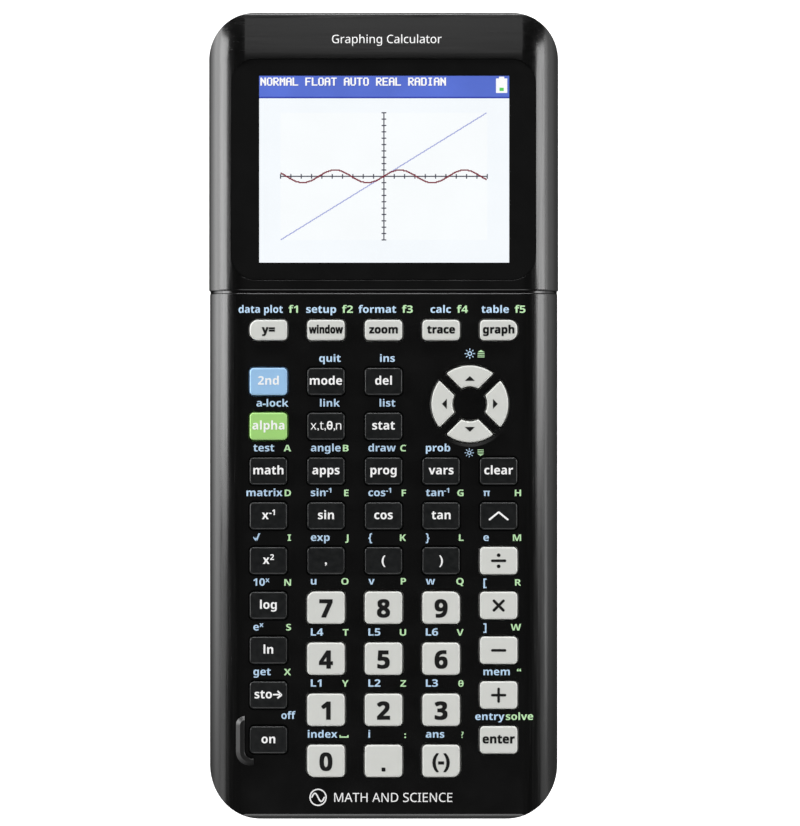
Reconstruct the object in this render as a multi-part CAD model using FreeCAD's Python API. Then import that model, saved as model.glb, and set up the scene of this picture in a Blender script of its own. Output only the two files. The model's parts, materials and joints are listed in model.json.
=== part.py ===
"""Handheld graphing calculator, lying on its back.

Millimetres; +Z points out of the screen and +Y towards the screen end. The origin is the
middle of the rest plane, under the centre of the plan outline.
Every separate piece is written to parts/NODE.step.
"""

import FreeCAD, Part
import math
import os

V = FreeCAD.Vector

# ---------------------------------------------------------------- driving dimensions
LENGTH = 186.3  # whole body, along Y
WIDTH = 81.2  # across the display end, which is the widest
KEYPAD_INSET = 0.2  # the keypad end is this much narrower on each side
REAR_INSET = 0.3  # the rear case is this much narrower on each side
TOP_CORNER_R = 11.0  # plan corners at the display end
BOTTOM_CORNER_R = 12.5  # plan corners at the keypad end

PAD_HEIGHT = 0.5  # moulded rest pads under the rear case
BACK_Z = PAD_HEIGHT  # outer face of the rear case
FACE_Z = 14.4  # flat front face
WALL = 1.8

RAIL_REACH = 8.6  # width of the rounded rail on each side of the flat face
RAIL_R = 8.9
REAR_EDGE_R = 4.6
BOTTOM_EDGE_R = 1.3  # front edge of the keypad end
BROW_LENGTH = 10.35  # the face falls away over this length at the display end
BROW_R = 22.0
BROW_SWEEP = 60.0  # degrees; more than enough to pass the end of the body
BROW_EDGE_R = 0.9
BROW_EDGE_SINK = 0.02  # keeps the rounded end edge from only touching the brow

SEAM_Y = 28.55  # joint line between the two front housings
SEAM_GAP = 0.5
LAP_DEPTH = 0.6  # the groove's floor lies this far under the surface
LAP_LENGTH = 1.9
LAP_PLAY = 0.05
SEAM_EDGE_R = 0.36

# keys
COLUMN_PITCH = 13.27
SMALL_PITCH = 10.33  # between rows of small keys
NUMBER_PITCH = 11.78  # between rows of number keys
MENU_ROW_Y = 19.7
SECOND_ROW_Y = 7.84  # first row of small keys
SEVEN_ROW_Y = -44.3  # first row of number keys
KEY_WIDTH = 8.6
SMALL_HEIGHT = 6.3
MENU_HEIGHT = 4.7
NUMBER_HEIGHT = 7.4
KEY_CORNER_R = 0.95
MENU_END_R = 1.9  # outer corners of the first and last menu keys
NUMBER_BLOCK_R = 1.7  # outer corners of the number block
KEY_EDGE_R = 0.38
SMALL_RISE = 1.0  # key tops above the flat face
NUMBER_RISE = 1.3
KEY_PLAY = 0.35  # gap between a key and its hole
KEY_WALL = 1.0
KEY_TOP = 1.3
FLANGE = 0.9  # how far the skirt's flange reaches past the key
FLANGE_THICK = 0.7
FLANGE_GAP = 0.1  # under the front wall
KEY_TRAVEL = 0.9
STEM_R = 1.2

# four arrow keys round a shallow dish
PAD_COLUMN = 1.5
PAD_OUTER_R = 8.85
PAD_INNER_R = 4.05
PAD_HALF_GAP = 1.15
PAD_RISE = 1.2
PAD_FLANGE = 0.6
DISH_R = 9.9
DISH_DEPTH = 0.7

# raised guard beside the on key
GUARD_GAP = 1.2
GUARD_WIDTH = 2.0
GUARD_FOOT = 1.6  # width of the ridge's foot below the key
GUARD_REACH = 4.1
GUARD_ABOVE = 2.3  # how far the ridge runs past the key's top edge
GUARD_BEND_R = 3.2
GUARD_INNER_R = 1.9
GUARD_RISE = 1.1
GUARD_SLOPE = 0.95  # width and height of the slope along its outer side
GUARD_EDGE_R = 0.25

# display
SCREEN_Y = 56.8
LENS_WIDTH = 70.2
LENS_HEIGHT = 50.8
LENS_R = 5.6
LENS_THICK = 1.4
LENS_DROP = 0.35  # the lens lies this far under the face
LENS_PLAY = 0.15
LENS_EDGE = 0.16
BEZEL_WIDTH = 64.0
BEZEL_HEIGHT = 46.6
LCD_WIDTH = 67.0
LCD_HEIGHT = 48.6
LCD_TOP_Z = 12.1
LCD_THICK = 2.4
LCD_VIEW_WIDTH = 59.0
LCD_VIEW_HEIGHT = 44.4
FOAM_WIDTH = 3.0

# board and key membrane
BOARD_WIDTH = 69.6
BOARD_TOP_Z = 9.1
BOARD_THICK = 1.2
BOARD_BOTTOM_Y = -87.0
BOARD_TOP_Y = 84.0
STANDOFF_R = 0.9
STANDOFF_X = 33.6
FRONT_STANDOFF_YS = (-65.0, -5.0, 14.0)
REAR_STANDOFF_YS = FRONT_STANDOFF_YS + (50.0, 78.0)
SHEET_THICK = 0.8
SHEET_WIDTH = 64.8
DOME_R = 3.0
DOME_TIP_R = 1.5
DOME_WALL = 0.6
DOME_PLAY = 0.02
SMALL_DOME = 0.72  # scale of the domes under the narrow keys

# battery and its bay
BAY_Y = -33.0
BATTERY = (52.0, 36.0, 5.0)
BATTERY_TOP_Z = BACK_Z + 6.6
BAY_PLAY = 0.5
BAY_WALL = 1.5
BAY_TOP_Z = 7.3
COVER_THICK = 1.4
COVER_LIP = 2.4
COVER_TAB = 8.0  # strip past the battery that takes the screw
COVER_PLAY = 0.15

# screws
SCREW_R = 1.0
SCREW_HEAD_R = 1.9
SCREW_HEAD = 1.3
SCREW_LENGTH = 7.5
BOSS_R = 2.2
HEAD_SINK = 0.3
SCREWS_AT = [
    (side * x, y)
    for side in (-1, 1)
    for x, y in ((28.5, 86.4), (35.7, 36.0), (35.6, -28.0), (30.5, -84.3))
]

# interfaces in the flanks and the back
PORT_DEPTH = 1.6  # the receptacle's mouth lies this far inside the display end
USB_X = 12.0
USB_SIZE = (7.7, 9.2, 4.0)  # across X, along Y, up
USB_PLAY = 0.4
LED_X = USB_X + 9.0
LED_R = 0.8
LED_SIZE = (2.4, 3.6)  # across X, along Y
RAIL_GROOVE = (0.6, 1.2)  # depth and height of the slide cover's groove
RAIL_GROOVE_Z = 4.2
RESET_AT = (18.0, 4.0)
RESET_HOLE_R = 0.8
PADS_AT = [(side * 25.0, y) for side in (-1, 1) for y in (-78.0, 78.0)]
PAD_R = 4.5

# ---------------------------------------------------------------- worked-out levels
RAIL_START = math.acos((RAIL_R - RAIL_REACH) / RAIL_R)  # rail arc angle at the flat face
PARTING_Z = FACE_Z - RAIL_R * math.sin(RAIL_START)
BREAK_Y = LENGTH / 2 - BROW_LENGTH  # the face falls away from here on
BROW_AXIS_Z = FACE_Z - BROW_R
CEILING_Z = FACE_Z - WALL
FLOOR_Z = BACK_Z + WALL
FLANGE_TOP_Z = CEILING_Z - FLANGE_GAP
FLANGE_Z = FLANGE_TOP_Z - FLANGE_THICK
STEM_Z = FLANGE_Z - 0.2
SHEET_TOP_Z = BOARD_TOP_Z + SHEET_THICK
PAD_CENTRE = V(PAD_COLUMN * COLUMN_PITCH, SECOND_ROW_Y - SMALL_PITCH / 2, 0)
BIG = 400.0


# ---------------------------------------------------------------- small helpers
def box(x0, x1, y0, y1, z0, z1):
    return Part.makeBox(x1 - x0, y1 - y0, z1 - z0, V(x0, y0, z0))


def cylinder(x, y, z0, z1, r):
    return Part.makeCylinder(r, z1 - z0, V(x, y, z0))


def arc(centre, radius, start, end, plane):
    """Circular arc in a plane given by a function from (across, up) to a point."""
    points = [
        plane(centre[0] + radius * math.cos(a), centre[1] + radius * math.sin(a))
        for a in (start, (start + end) / 2, end)
    ]
    return Part.Arc(*points).toShape()


def rounded_outline(width, height, radii, centre=(0.0, 0.0), z=0.0):
    """Rectangular face; radii are for the top-left, top-right, bottom-right, bottom-left corners."""
    cx, cy = centre
    x, y = width / 2, height / 2
    corners = [(-1, 1, math.pi), (1, 1, math.pi / 2), (1, -1, 0.0), (-1, -1, -math.pi / 2)]
    edges = []
    ends = []
    for (sx, sy, start), r in zip(corners, radii):
        middle = (cx + sx * (x - r), cy + sy * (y - r))
        sweep = arc(middle, r, start, start - math.pi / 2, lambda a, b: V(a, b, z))
        edges.append(sweep)
        ends.append((sweep.Vertexes[0].Point, sweep.Vertexes[-1].Point))
    for i, (_, finish) in enumerate(ends):
        begin = ends[(i + 1) % 4][0]
        if (finish - begin).Length > 1e-6:
            edges.append(Part.makeLine(finish, begin))
    return Part.Face(Part.Wire(Part.__sortEdges__(edges)))


def rounded_block(width, height, radii, z0, z1, centre=(0.0, 0.0)):
    if not isinstance(radii, (list, tuple)):
        radii = [radii] * 4
    return rounded_outline(width, height, radii, centre, z0).extrude(V(0, 0, z1 - z0))


def prism(edges, direction):
    return Part.Face(Part.Wire(Part.__sortEdges__(edges))).extrude(direction)


def fused(shapes):
    first, rest = shapes[0], list(shapes[1:])
    return first.fuse(rest).removeSplitter() if rest else first


def top_edges(shape, z):
    return [e for e in shape.Edges if all(abs(v.Z - z) < 1e-4 for v in e.Vertexes)]


def edges_at(shape, spots):
    """The shape's edges whose middles lie at the given points."""
    found = []
    for edge in shape.Edges:
        middle = edge.valueAt((edge.FirstParameter + edge.LastParameter) / 2)
        if any((middle - spot).Length < 1e-3 for spot in spots):
            found.append(edge)
    return found


def save(shape, node):
    """Write one node's solids."""
    solids = shape.Solids
    if not solids:
        raise RuntimeError(node + " has no solid")
    for solid in solids:
        if not solid.isValid():
            print("warning: invalid solid in", node)
    Part.Compound(solids).exportStep(os.path.join("parts", node + ".step"))


# ---------------------------------------------------------------- body forms
def plan_prism(half_width, inset):
    top, bottom = TOP_CORNER_R - inset, BOTTOM_CORNER_R - inset
    return rounded_block(
        2 * half_width, LENGTH - 2 * inset, [top, top, bottom, bottom], -1.0, FACE_Z + 1.0
    )


def front_section(half_width, inset):
    """Cross-section under the front surface, moved inwards by inset, as a face at y = BREAK_Y."""
    edge_x = half_width - inset
    rail_r = RAIL_R - inset
    face_z = FACE_Z - inset
    foot_z = BROW_AXIS_Z + 3.0
    middle_x = half_width - RAIL_R
    start = math.asin(min(1.0, (face_z - PARTING_Z) / rail_r))
    flat_x = middle_x + rail_r * math.cos(start)

    def across(a, b):
        return V(a, BREAK_Y, b)

    edges = [
        arc((middle_x, PARTING_Z), rail_r, 0, start, across),
        arc((-middle_x, PARTING_Z), rail_r, math.pi - start, math.pi, across),
        Part.makeLine(across(flat_x, face_z), across(-flat_x, face_z)),
        Part.makeLine(across(-edge_x, PARTING_Z), across(-edge_x, foot_z)),
        Part.makeLine(across(-edge_x, foot_z), across(edge_x, foot_z)),
        Part.makeLine(across(edge_x, foot_z), across(edge_x, PARTING_Z)),
    ]
    return Part.Face(Part.Wire(Part.__sortEdges__(edges)))


def front_form(half_width, inset=0.0):
    """Solid bounded by the front surface, moved inwards by inset, and by the parting plane.

    The cross-section runs straight along the body and then swings down over the brow.
    """
    edge_x = half_width - inset
    section = front_section(half_width, inset)
    straight = section.extrude(V(0, -BIG / 2, 0))
    brow = section.revolve(V(0, BREAK_Y, BROW_AXIS_Z), V(1, 0, 0), -BROW_SWEEP)
    form = straight.fuse(brow).common(side_prism(inset))
    form = form.common(box(-BIG / 2, BIG / 2, -BIG / 2, BIG / 2, PARTING_Z, BIG / 2))
    return form.common(plan_prism(edge_x, inset))


def side_prism(inset):
    """Lengthwise limits, with the rounded edges at both ends."""
    face_z = FACE_Z - inset
    end_y = LENGTH / 2 - inset
    low_r = max(BOTTOM_EDGE_R - inset, 0.3)
    edge_r = max(BROW_EDGE_R - inset, 0.3)
    brow_r = BROW_R - inset
    fall = math.asin((end_y - edge_r - BREAK_Y) / (brow_r - edge_r))
    middle_z = BROW_AXIS_Z + (brow_r - edge_r) * math.cos(fall) - BROW_EDGE_SINK
    tip_y = end_y - edge_r + edge_r * math.sin(fall)
    tip_z = middle_z + edge_r * math.cos(fall)
    crest_y = tip_y - (face_z - tip_z) / math.tan(fall)

    def along(a, b):
        return V(-BIG / 2, a, b)

    edges = [
        arc((-end_y + low_r, face_z - low_r), low_r, math.pi, math.pi / 2, along),
        Part.makeLine(along(-end_y + low_r, face_z), along(crest_y, face_z)),
        Part.makeLine(along(crest_y, face_z), along(tip_y, tip_z)),
        arc((end_y - edge_r, middle_z), edge_r, math.pi / 2 - fall, 0, along),
        Part.makeLine(along(end_y, middle_z), along(end_y, -1)),
        Part.makeLine(along(end_y, -1), along(-end_y, -1)),
        Part.makeLine(along(-end_y, -1), along(-end_y, face_z - low_r)),
    ]
    return prism(edges, V(BIG, 0, 0))


def rear_form(inset=0.0):
    """Solid bounded by the rear surface, moved inwards by inset, and by the parting plane."""
    edge_x = WIDTH / 2 - REAR_INSET - inset
    end_y = LENGTH / 2 - REAR_INSET - inset
    back_z = BACK_Z + inset
    edge_r = REAR_EDGE_R - inset

    def tray(half, plane, direction):
        edges = [
            arc((half - edge_r, back_z + edge_r), edge_r, -math.pi / 2, 0, plane),
            arc((-half + edge_r, back_z + edge_r), edge_r, math.pi, 1.5 * math.pi, plane),
            Part.makeLine(plane(-half + edge_r, back_z), plane(half - edge_r, back_z)),
            Part.makeLine(plane(half, back_z + edge_r), plane(half, PARTING_Z)),
            Part.makeLine(plane(half, PARTING_Z), plane(-half, PARTING_Z)),
            Part.makeLine(plane(-half, PARTING_Z), plane(-half, back_z + edge_r)),
        ]
        return prism(edges, direction)

    across = tray(edge_x, lambda a, b: V(a, -BIG / 2, b), V(0, BIG, 0))
    along = tray(end_y, lambda a, b: V(-BIG / 2, a, b), V(BIG, 0, 0))
    return across.common(along).common(plan_prism(edge_x, inset + REAR_INSET))


def slab(y0, y1):
    return box(-BIG / 2, BIG / 2, y0, y1, -1, FACE_Z + 5)


def round_seam(shape, y):
    """Round the outer edge of the end face at y."""
    edges = [
        e
        for e in shape.Edges
        if all(abs(v.Y - y) < 1e-4 for v in e.Vertexes)
        and max(v.Z for v in e.Vertexes) > PARTING_Z + 0.01
        and e.BoundBox.XLength > 5.0
    ]
    outer = max(edges, key=lambda e: e.BoundBox.ZMax + e.BoundBox.XLength)
    rails = [e for e in edges if e.BoundBox.ZMax > FACE_Z - 0.2 and e is not outer]
    try:
        return shape.makeFillet(SEAM_EDGE_R, [outer] + rails)
    except Exception as problem:
        print("seam edge at", y, "stays sharp:", problem)
        return shape


# ---------------------------------------------------------------- screws and bosses
def screw(x, y, head_z, length):
    """Pan-head screw with its head down and a cross recess."""
    head = cylinder(x, y, head_z, head_z + SCREW_HEAD, SCREW_HEAD_R)
    head = head.makeFillet(0.4, top_edges(head, head_z))
    shank = cylinder(x, y, head_z + SCREW_HEAD - 0.1, head_z + SCREW_HEAD + length - 1.0, SCREW_R)
    tip_z = head_z + SCREW_HEAD + length
    tip = Part.makeCone(SCREW_R, 0.3, 1.0, V(x, y, tip_z - 1.0))
    body = fused([head, shank, tip])
    slot = 0.25
    reach = 1.1
    recess = fused(
        [
            box(x - reach, x + reach, y - slot, y + slot, head_z - 1, head_z + 0.7),
            box(x - slot, x + slot, y - reach, y + reach, head_z - 1, head_z + 0.7),
        ]
    )
    return body.cut(recess)


def case_screws():
    return Part.Compound([screw(x, y, BACK_Z + HEAD_SINK, SCREW_LENGTH) for x, y in SCREWS_AT])


def front_boss(x, y):
    """Boss under the front face with a blind pilot hole."""
    return cylinder(x, y, PARTING_Z, CEILING_Z + 0.5, BOSS_R)


def pilot_hole(x, y):
    depth = BACK_Z + HEAD_SINK + SCREW_HEAD + SCREW_LENGTH + 0.4
    return cylinder(x, y, PARTING_Z - 1, depth, SCREW_R + 0.02)


def add_bosses(shell, form, spots):
    bosses = [front_boss(x, y).common(form) for x, y in spots]
    shell = shell.fuse(bosses).removeSplitter()
    return shell.cut([pilot_hole(x, y) for x, y in spots])


def boss_clearance(z0, z1):
    return [cylinder(x, y, z0, z1, BOSS_R + 0.35) for x, y in SCREWS_AT]


# ---------------------------------------------------------------- keys
class Key:
    """One rectangular key: its node name, column, height, place, corner radii and rise."""

    def __init__(self, name, column, y, height, radii=None, rise=SMALL_RISE):
        self.dome_scale = SMALL_DOME if height < SMALL_HEIGHT else 1.0
        self.name = "key_" + name
        self.x = column * COLUMN_PITCH
        self.y = y
        self.height = height
        self.radii = radii or [KEY_CORNER_R] * 4
        self.rise = rise

    def block(self, grow, z0, z1):
        radii = [max(r + grow, 0.3) for r in self.radii]
        size = (KEY_WIDTH + 2 * grow, self.height + 2 * grow)
        return rounded_block(*size, radii, z0, z1, (self.x, self.y))

    def solid(self):
        top = FACE_Z + self.rise
        cap = self.block(0, FLANGE_Z, top)
        cap = cap.makeFillet(KEY_EDGE_R, top_edges(cap, top))
        flange = self.block(FLANGE, FLANGE_Z, FLANGE_TOP_Z)
        hollow = self.block(-KEY_WALL, FLANGE_Z - 1, top - KEY_TOP)
        stem = cylinder(self.x, self.y, STEM_Z, top - KEY_TOP + 0.2, STEM_R)
        return cap.fuse(flange).removeSplitter().cut(hollow).fuse(stem).removeSplitter()

    def hole(self):
        return self.block(KEY_PLAY, CEILING_Z - 1, FACE_Z + 2)

    def dome_centre(self):
        return self.x, self.y


class ArrowKey:
    """One of the four wedge keys; turn is its angle from the upward wedge, in degrees."""

    dome_scale = SMALL_DOME

    def __init__(self, name, turn):
        self.name = "key_" + name
        self.turn = turn

    def block(self, grow, z0, z1):
        ring = cylinder(0, 0, z0, z1, PAD_OUTER_R + grow)
        ring = ring.cut(cylinder(0, 0, z0 - 1, z1 + 1, PAD_INNER_R - grow))
        foot = (PAD_HALF_GAP - grow) * math.sqrt(2)
        reach = 2 * PAD_OUTER_R
        corners = [V(0, foot, z0), V(-reach, foot + reach, z0), V(reach, foot + reach, z0)]
        wedge = Part.Face(Part.makePolygon(corners + corners[:1])).extrude(V(0, 0, z1 - z0))
        shape = ring.common(wedge)
        upright = [e for e in shape.Edges if abs(e.Vertexes[0].Z - e.Vertexes[-1].Z) > 0.5]
        shape = shape.makeFillet(0.3, upright)
        shape.rotate(V(0, 0, 0), V(0, 0, 1), self.turn)
        shape.translate(PAD_CENTRE)
        return shape

    def solid(self):
        top = FACE_Z + PAD_RISE
        cap = self.block(0, FLANGE_Z, top)
        cap = cap.makeFillet(KEY_EDGE_R, top_edges(cap, top))
        flange = self.block(PAD_FLANGE, FLANGE_Z, FLANGE_TOP_Z)
        hollow = self.block(-KEY_WALL, FLANGE_Z - 1, top - KEY_TOP)
        x, y = self.dome_centre()
        stem = cylinder(x, y, STEM_Z, top - KEY_TOP + 0.2, 1.0)
        return cap.fuse(flange).removeSplitter().cut(hollow).fuse(stem).removeSplitter()

    def hole(self):
        return self.block(KEY_PLAY, CEILING_Z - 3, FACE_Z + 2)

    def dome_centre(self):
        angle = math.radians(self.turn + 90)
        middle = (PAD_OUTER_R + PAD_INNER_R) / 2
        return PAD_CENTRE.x + middle * math.cos(angle), PAD_CENTRE.y + middle * math.sin(angle)


def small_row_y(row):
    return SECOND_ROW_Y - row * SMALL_PITCH


def number_row_y(row):
    return SEVEN_ROW_Y - row * NUMBER_PITCH


def all_keys():
    """Every key, row by row from the display end."""
    end_left = [MENU_END_R, KEY_CORNER_R, KEY_CORNER_R, MENU_END_R]
    end_right = [KEY_CORNER_R, MENU_END_R, MENU_END_R, KEY_CORNER_R]
    menu = ["y_equals", "window", "zoom", "trace", "graph"]
    menu_radii = {"y_equals": end_left, "graph": end_right}
    keys = [
        Key(name, i - 2, MENU_ROW_Y, MENU_HEIGHT, menu_radii.get(name))
        for i, name in enumerate(menu)
    ]
    small_rows = [
        ["second", "mode", "delete"],
        ["alpha", "variable", "stat"],
        ["math", "apps", "program", "vars", "clear"],
        ["reciprocal", "sine", "cosine", "tangent", "power"],
        ["square", "comma", "open_bracket", "close_bracket", "divide"],
        ["log", None, None, None, "multiply"],
        ["ln", None, None, None, "minus"],
        ["store", None, None, None, "plus"],
        ["on", None, None, None, "enter"],
    ]
    for row, names in enumerate(small_rows):
        keys += [
            Key(name, i - 2, small_row_y(row), SMALL_HEIGHT)
            for i, name in enumerate(names)
            if name
        ]
    number_rows = [["7", "8", "9"], ["4", "5", "6"], ["1", "2", "3"], ["0", "point", "negative"]]
    block_corner = {"7": 0, "9": 1, "negative": 2, "0": 3}
    for row, names in enumerate(number_rows):
        for i, name in enumerate(names):
            radii = [KEY_CORNER_R] * 4
            if name in block_corner:
                radii[block_corner[name]] = NUMBER_BLOCK_R
            keys.append(Key(name, i - 1, number_row_y(row), NUMBER_HEIGHT, radii, NUMBER_RISE))
    arrows = [("up", 0), ("left", 90), ("down", 180), ("right", 270)]
    return keys + [ArrowKey(name, turn) for name, turn in arrows]


# ---------------------------------------------------------------- front housings
def display_housing():
    half = WIDTH / 2
    form = front_form(half)
    seam = SEAM_Y + SEAM_GAP / 2
    shell = form.cut(front_form(half, WALL)).common(slab(seam, BIG))
    shell = round_seam(shell, seam)
    lap_end = seam + LAP_LENGTH
    shell = shell.cut(front_form(half, LAP_DEPTH).common(slab(seam - 1, lap_end)))
    shell = add_bosses(shell, form, [s for s in SCREWS_AT if s[1] > SEAM_Y])
    centre = (0, SCREEN_Y)
    pocket_z = FACE_Z - LENS_DROP - LENS_THICK
    pocket = (LENS_WIDTH + 2 * LENS_PLAY, LENS_HEIGHT + 2 * LENS_PLAY)
    ledge = rounded_block(LENS_WIDTH + 4, LENS_HEIGHT + 4, LENS_R, pocket_z - 0.9, FACE_Z, centre)
    shell = shell.fuse(ledge.common(form).common(slab(lap_end, BIG))).removeSplitter()
    shell = shell.cut(rounded_block(*pocket, LENS_R + LENS_PLAY, pocket_z, FACE_Z + 1, centre))
    shell = shell.cut(rounded_block(BEZEL_WIDTH, BEZEL_HEIGHT, 1.5, 0, FACE_Z + 1, centre))
    shell = chamfer_lens_pocket(shell, pocket, centre)
    return shell.cut([usb_opening(), led_hole(), lcd_body(0.15)])


def chamfer_lens_pocket(shell, size, centre):
    """Slope the rim of the lens pocket so that it catches the light."""
    rim = rounded_outline(*size, [LENS_R + LENS_PLAY] * 4, centre, FACE_Z - LENS_EDGE)
    grown = [s + 2 * LENS_EDGE for s in size]
    outer = rounded_outline(*grown, [LENS_R + LENS_PLAY + LENS_EDGE] * 4, centre, FACE_Z)
    return shell.cut(Part.makeLoft([rim.OuterWire, outer.OuterWire], True))


def keypad_housing(keys):
    half = WIDTH / 2 - KEYPAD_INSET
    form = front_form(half)
    seam = SEAM_Y - SEAM_GAP / 2
    shell = form.cut(front_form(half, WALL)).common(slab(-BIG, seam))
    shell = round_seam(shell, seam)
    tongue = front_form(half, LAP_DEPTH + LAP_PLAY).cut(front_form(half, WALL))
    tongue = tongue.common(slab(seam - 0.5, seam + SEAM_GAP + LAP_LENGTH - 0.1))
    shell = shell.fuse(tongue).removeSplitter()
    shell = shell.fuse(on_guard()).removeSplitter()
    ball_r = (DISH_R**2 + DISH_DEPTH**2) / (2 * DISH_DEPTH)
    ball_z = FACE_Z - DISH_DEPTH + ball_r
    shell = shell.cut(Part.makeSphere(ball_r, V(PAD_CENTRE.x, PAD_CENTRE.y, ball_z)))
    shell = shell.cut([key.hole() for key in keys])
    standoffs = [
        cylinder(side * STANDOFF_X, y, BOARD_TOP_Z, CEILING_Z + 0.5, STANDOFF_R).common(form)
        for side in (-1, 1)
        for y in FRONT_STANDOFF_YS
    ]
    shell = shell.fuse(standoffs)
    return add_bosses(shell, form, [s for s in SCREWS_AT if s[1] < SEAM_Y])


def on_guard():
    """Raised ridge beside the on key, whose foot curls under the key's corner."""
    low, high = FACE_Z - 1.0, FACE_Z + GUARD_RISE
    left = -2 * COLUMN_PITCH - KEY_WIDTH / 2 - GUARD_GAP - GUARD_WIDTH
    right = left + GUARD_WIDTH
    end = left + GUARD_REACH
    key_foot = small_row_y(8) - SMALL_HEIGHT / 2
    foot = key_foot - GUARD_GAP - GUARD_FOOT
    inner_foot = foot + GUARD_FOOT
    tip = key_foot + SMALL_HEIGHT + GUARD_ABOVE
    shoulder = tip - GUARD_WIDTH
    bend_r = GUARD_BEND_R
    inner_r = GUARD_INNER_R

    def flat(a, b):
        return V(a, b, high)

    outer = [
        arc((right, shoulder), GUARD_WIDTH, math.pi / 2, math.pi, flat),
        Part.makeLine(flat(left, shoulder), flat(left, foot + bend_r)),
        arc((left + bend_r, foot + bend_r), bend_r, math.pi, 1.5 * math.pi, flat),
        Part.makeLine(flat(left + bend_r, foot), flat(end, foot)),
    ]
    inner = [
        Part.makeLine(flat(end, inner_foot), flat(right + inner_r, inner_foot)),
        arc((right + inner_r, inner_foot + inner_r), inner_r, 1.5 * math.pi, math.pi, flat),
        Part.makeLine(flat(right, inner_foot + inner_r), flat(right, tip)),
    ]
    tail = Part.makeLine(flat(end, foot), flat(end, inner_foot))
    ridge = prism(outer + inner + [tail], V(0, 0, low - high))

    def middles(edges):
        return [e.valueAt((e.FirstParameter + e.LastParameter) / 2) for e in edges]

    ridge = ridge.makeChamfer(GUARD_SLOPE, edges_at(ridge, middles(outer)))
    return ridge.makeFillet(GUARD_EDGE_R, edges_at(ridge, middles(inner)))


# ---------------------------------------------------------------- display pieces
def display_window():
    top = FACE_Z - LENS_DROP
    return rounded_block(
        LENS_WIDTH, LENS_HEIGHT, LENS_R, top - LENS_THICK + 0.02, top, (0, SCREEN_Y)
    )


def lcd_body(grow):
    size = (LCD_WIDTH + 2 * grow, LCD_HEIGHT + 2 * grow)
    low = LCD_TOP_Z - LCD_THICK - grow
    return rounded_block(*size, 0.8, low, LCD_TOP_Z + grow, (0, SCREEN_Y))


def lcd_module():
    """Metal frame, glass panel, tail cable and foam tape, bonded together."""
    view = (LCD_VIEW_WIDTH, LCD_VIEW_HEIGHT)
    glass_top = LCD_TOP_Z - 0.1
    glass_low = LCD_TOP_Z - 1.3
    frame = lcd_body(0)
    frame = frame.cut(rounded_block(*view, 0.5, glass_low, LCD_TOP_Z + 1, (0, SCREEN_Y)))
    inset = (LCD_VIEW_WIDTH - 0.04, LCD_VIEW_HEIGHT - 0.04)
    glass = rounded_block(*inset, 0.5, glass_low + 0.01, glass_top, (0, SCREEN_Y))
    tail_y = SCREEN_Y - LCD_HEIGHT / 2
    tail_z = LCD_TOP_Z - LCD_THICK
    tail = box(-9, 9, tail_y - 4.0, tail_y + 0.0, tail_z + 0.2, tail_z + 0.4)
    drop = box(-9, 9, tail_y - 4.0, tail_y - 3.8, BOARD_TOP_Z + 0.01, tail_z + 0.4)
    foam_x = LCD_WIDTH / 2 - FOAM_WIDTH
    foam_y = LCD_HEIGHT / 2 - 2
    foam = [
        box(x, x + FOAM_WIDTH, SCREEN_Y - foam_y, SCREEN_Y + foam_y, BOARD_TOP_Z, tail_z)
        for x in (-foam_x - FOAM_WIDTH, foam_x)
    ]
    return Part.Compound([frame, glass, fused([tail, drop])] + foam)


# ---------------------------------------------------------------- board and membrane
def main_board():
    """Circuit board with its soldered parts."""
    low = BOARD_TOP_Z - BOARD_THICK
    middle = (BOARD_TOP_Y + BOARD_BOTTOM_Y) / 2
    board = rounded_block(
        BOARD_WIDTH, BOARD_TOP_Y - BOARD_BOTTOM_Y, 6.0, low, BOARD_TOP_Z, (0, middle)
    )
    board = board.cut(boss_clearance(low - 1, BOARD_TOP_Z + 1))
    ear = box(USB_X - 6, LED_X + 3, BOARD_TOP_Y - 1, LENGTH / 2 - 4.5, low, BOARD_TOP_Z)
    board = board.fuse(ear).removeSplitter()

    def chip(x, y, width, height, thick):
        return rounded_block(width, height, 0.4, low - thick, low - 0.01, (x, y))

    parts = [
        chip(-6, 52, 14, 14, 1.3),  # processor
        chip(14, 52, 9, 7, 1.1),  # memory
        chip(-22, 40, 5, 5, 0.9),  # power controller
        chip(*contact_centre(), 14, 5, low - BATTERY_TOP_Z - 0.05),  # battery contacts
        chip(*RESET_AT, 4, 4, 2.0),  # reset switch
        usb_receptacle(low),
        led(low),
    ]
    return Part.Compound([board] + parts)


def usb_receptacle(low):
    """Five-way receptacle shell with its tongue; the mouth faces +Y."""
    across, along, up = USB_SIZE
    mouth = LENGTH / 2 - PORT_DEPTH
    half = across / 2
    shell = box(USB_X - half, USB_X + half, mouth - along, mouth, low - up, low - 0.01)
    long_edges = [e for e in shell.Edges if e.BoundBox.YLength > along - 0.1]
    shell = shell.makeFillet(0.6, long_edges)
    skin = 0.4
    half -= skin
    z0, z1 = low - up + skin, low - 0.01 - skin
    cavity = box(USB_X - half, USB_X + half, mouth - along + 1.5, mouth + 1, z0, z1)
    tongue_z = low - up / 2
    ends = (mouth - along + 1, mouth - 1.2)
    tongue = box(USB_X - 2.4, USB_X + 2.4, *ends, tongue_z - 0.5, tongue_z + 0.5)
    return shell.cut(cavity).fuse(tongue).removeSplitter()


def usb_opening():
    across, along, up = USB_SIZE
    half = across / 2 + USB_PLAY
    low = BOARD_TOP_Z - BOARD_THICK
    z0, z1 = low - up - USB_PLAY, low + USB_PLAY
    end = LENGTH / 2
    return box(USB_X - half, USB_X + half, end - along, end + 1, z0, z1)


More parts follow.
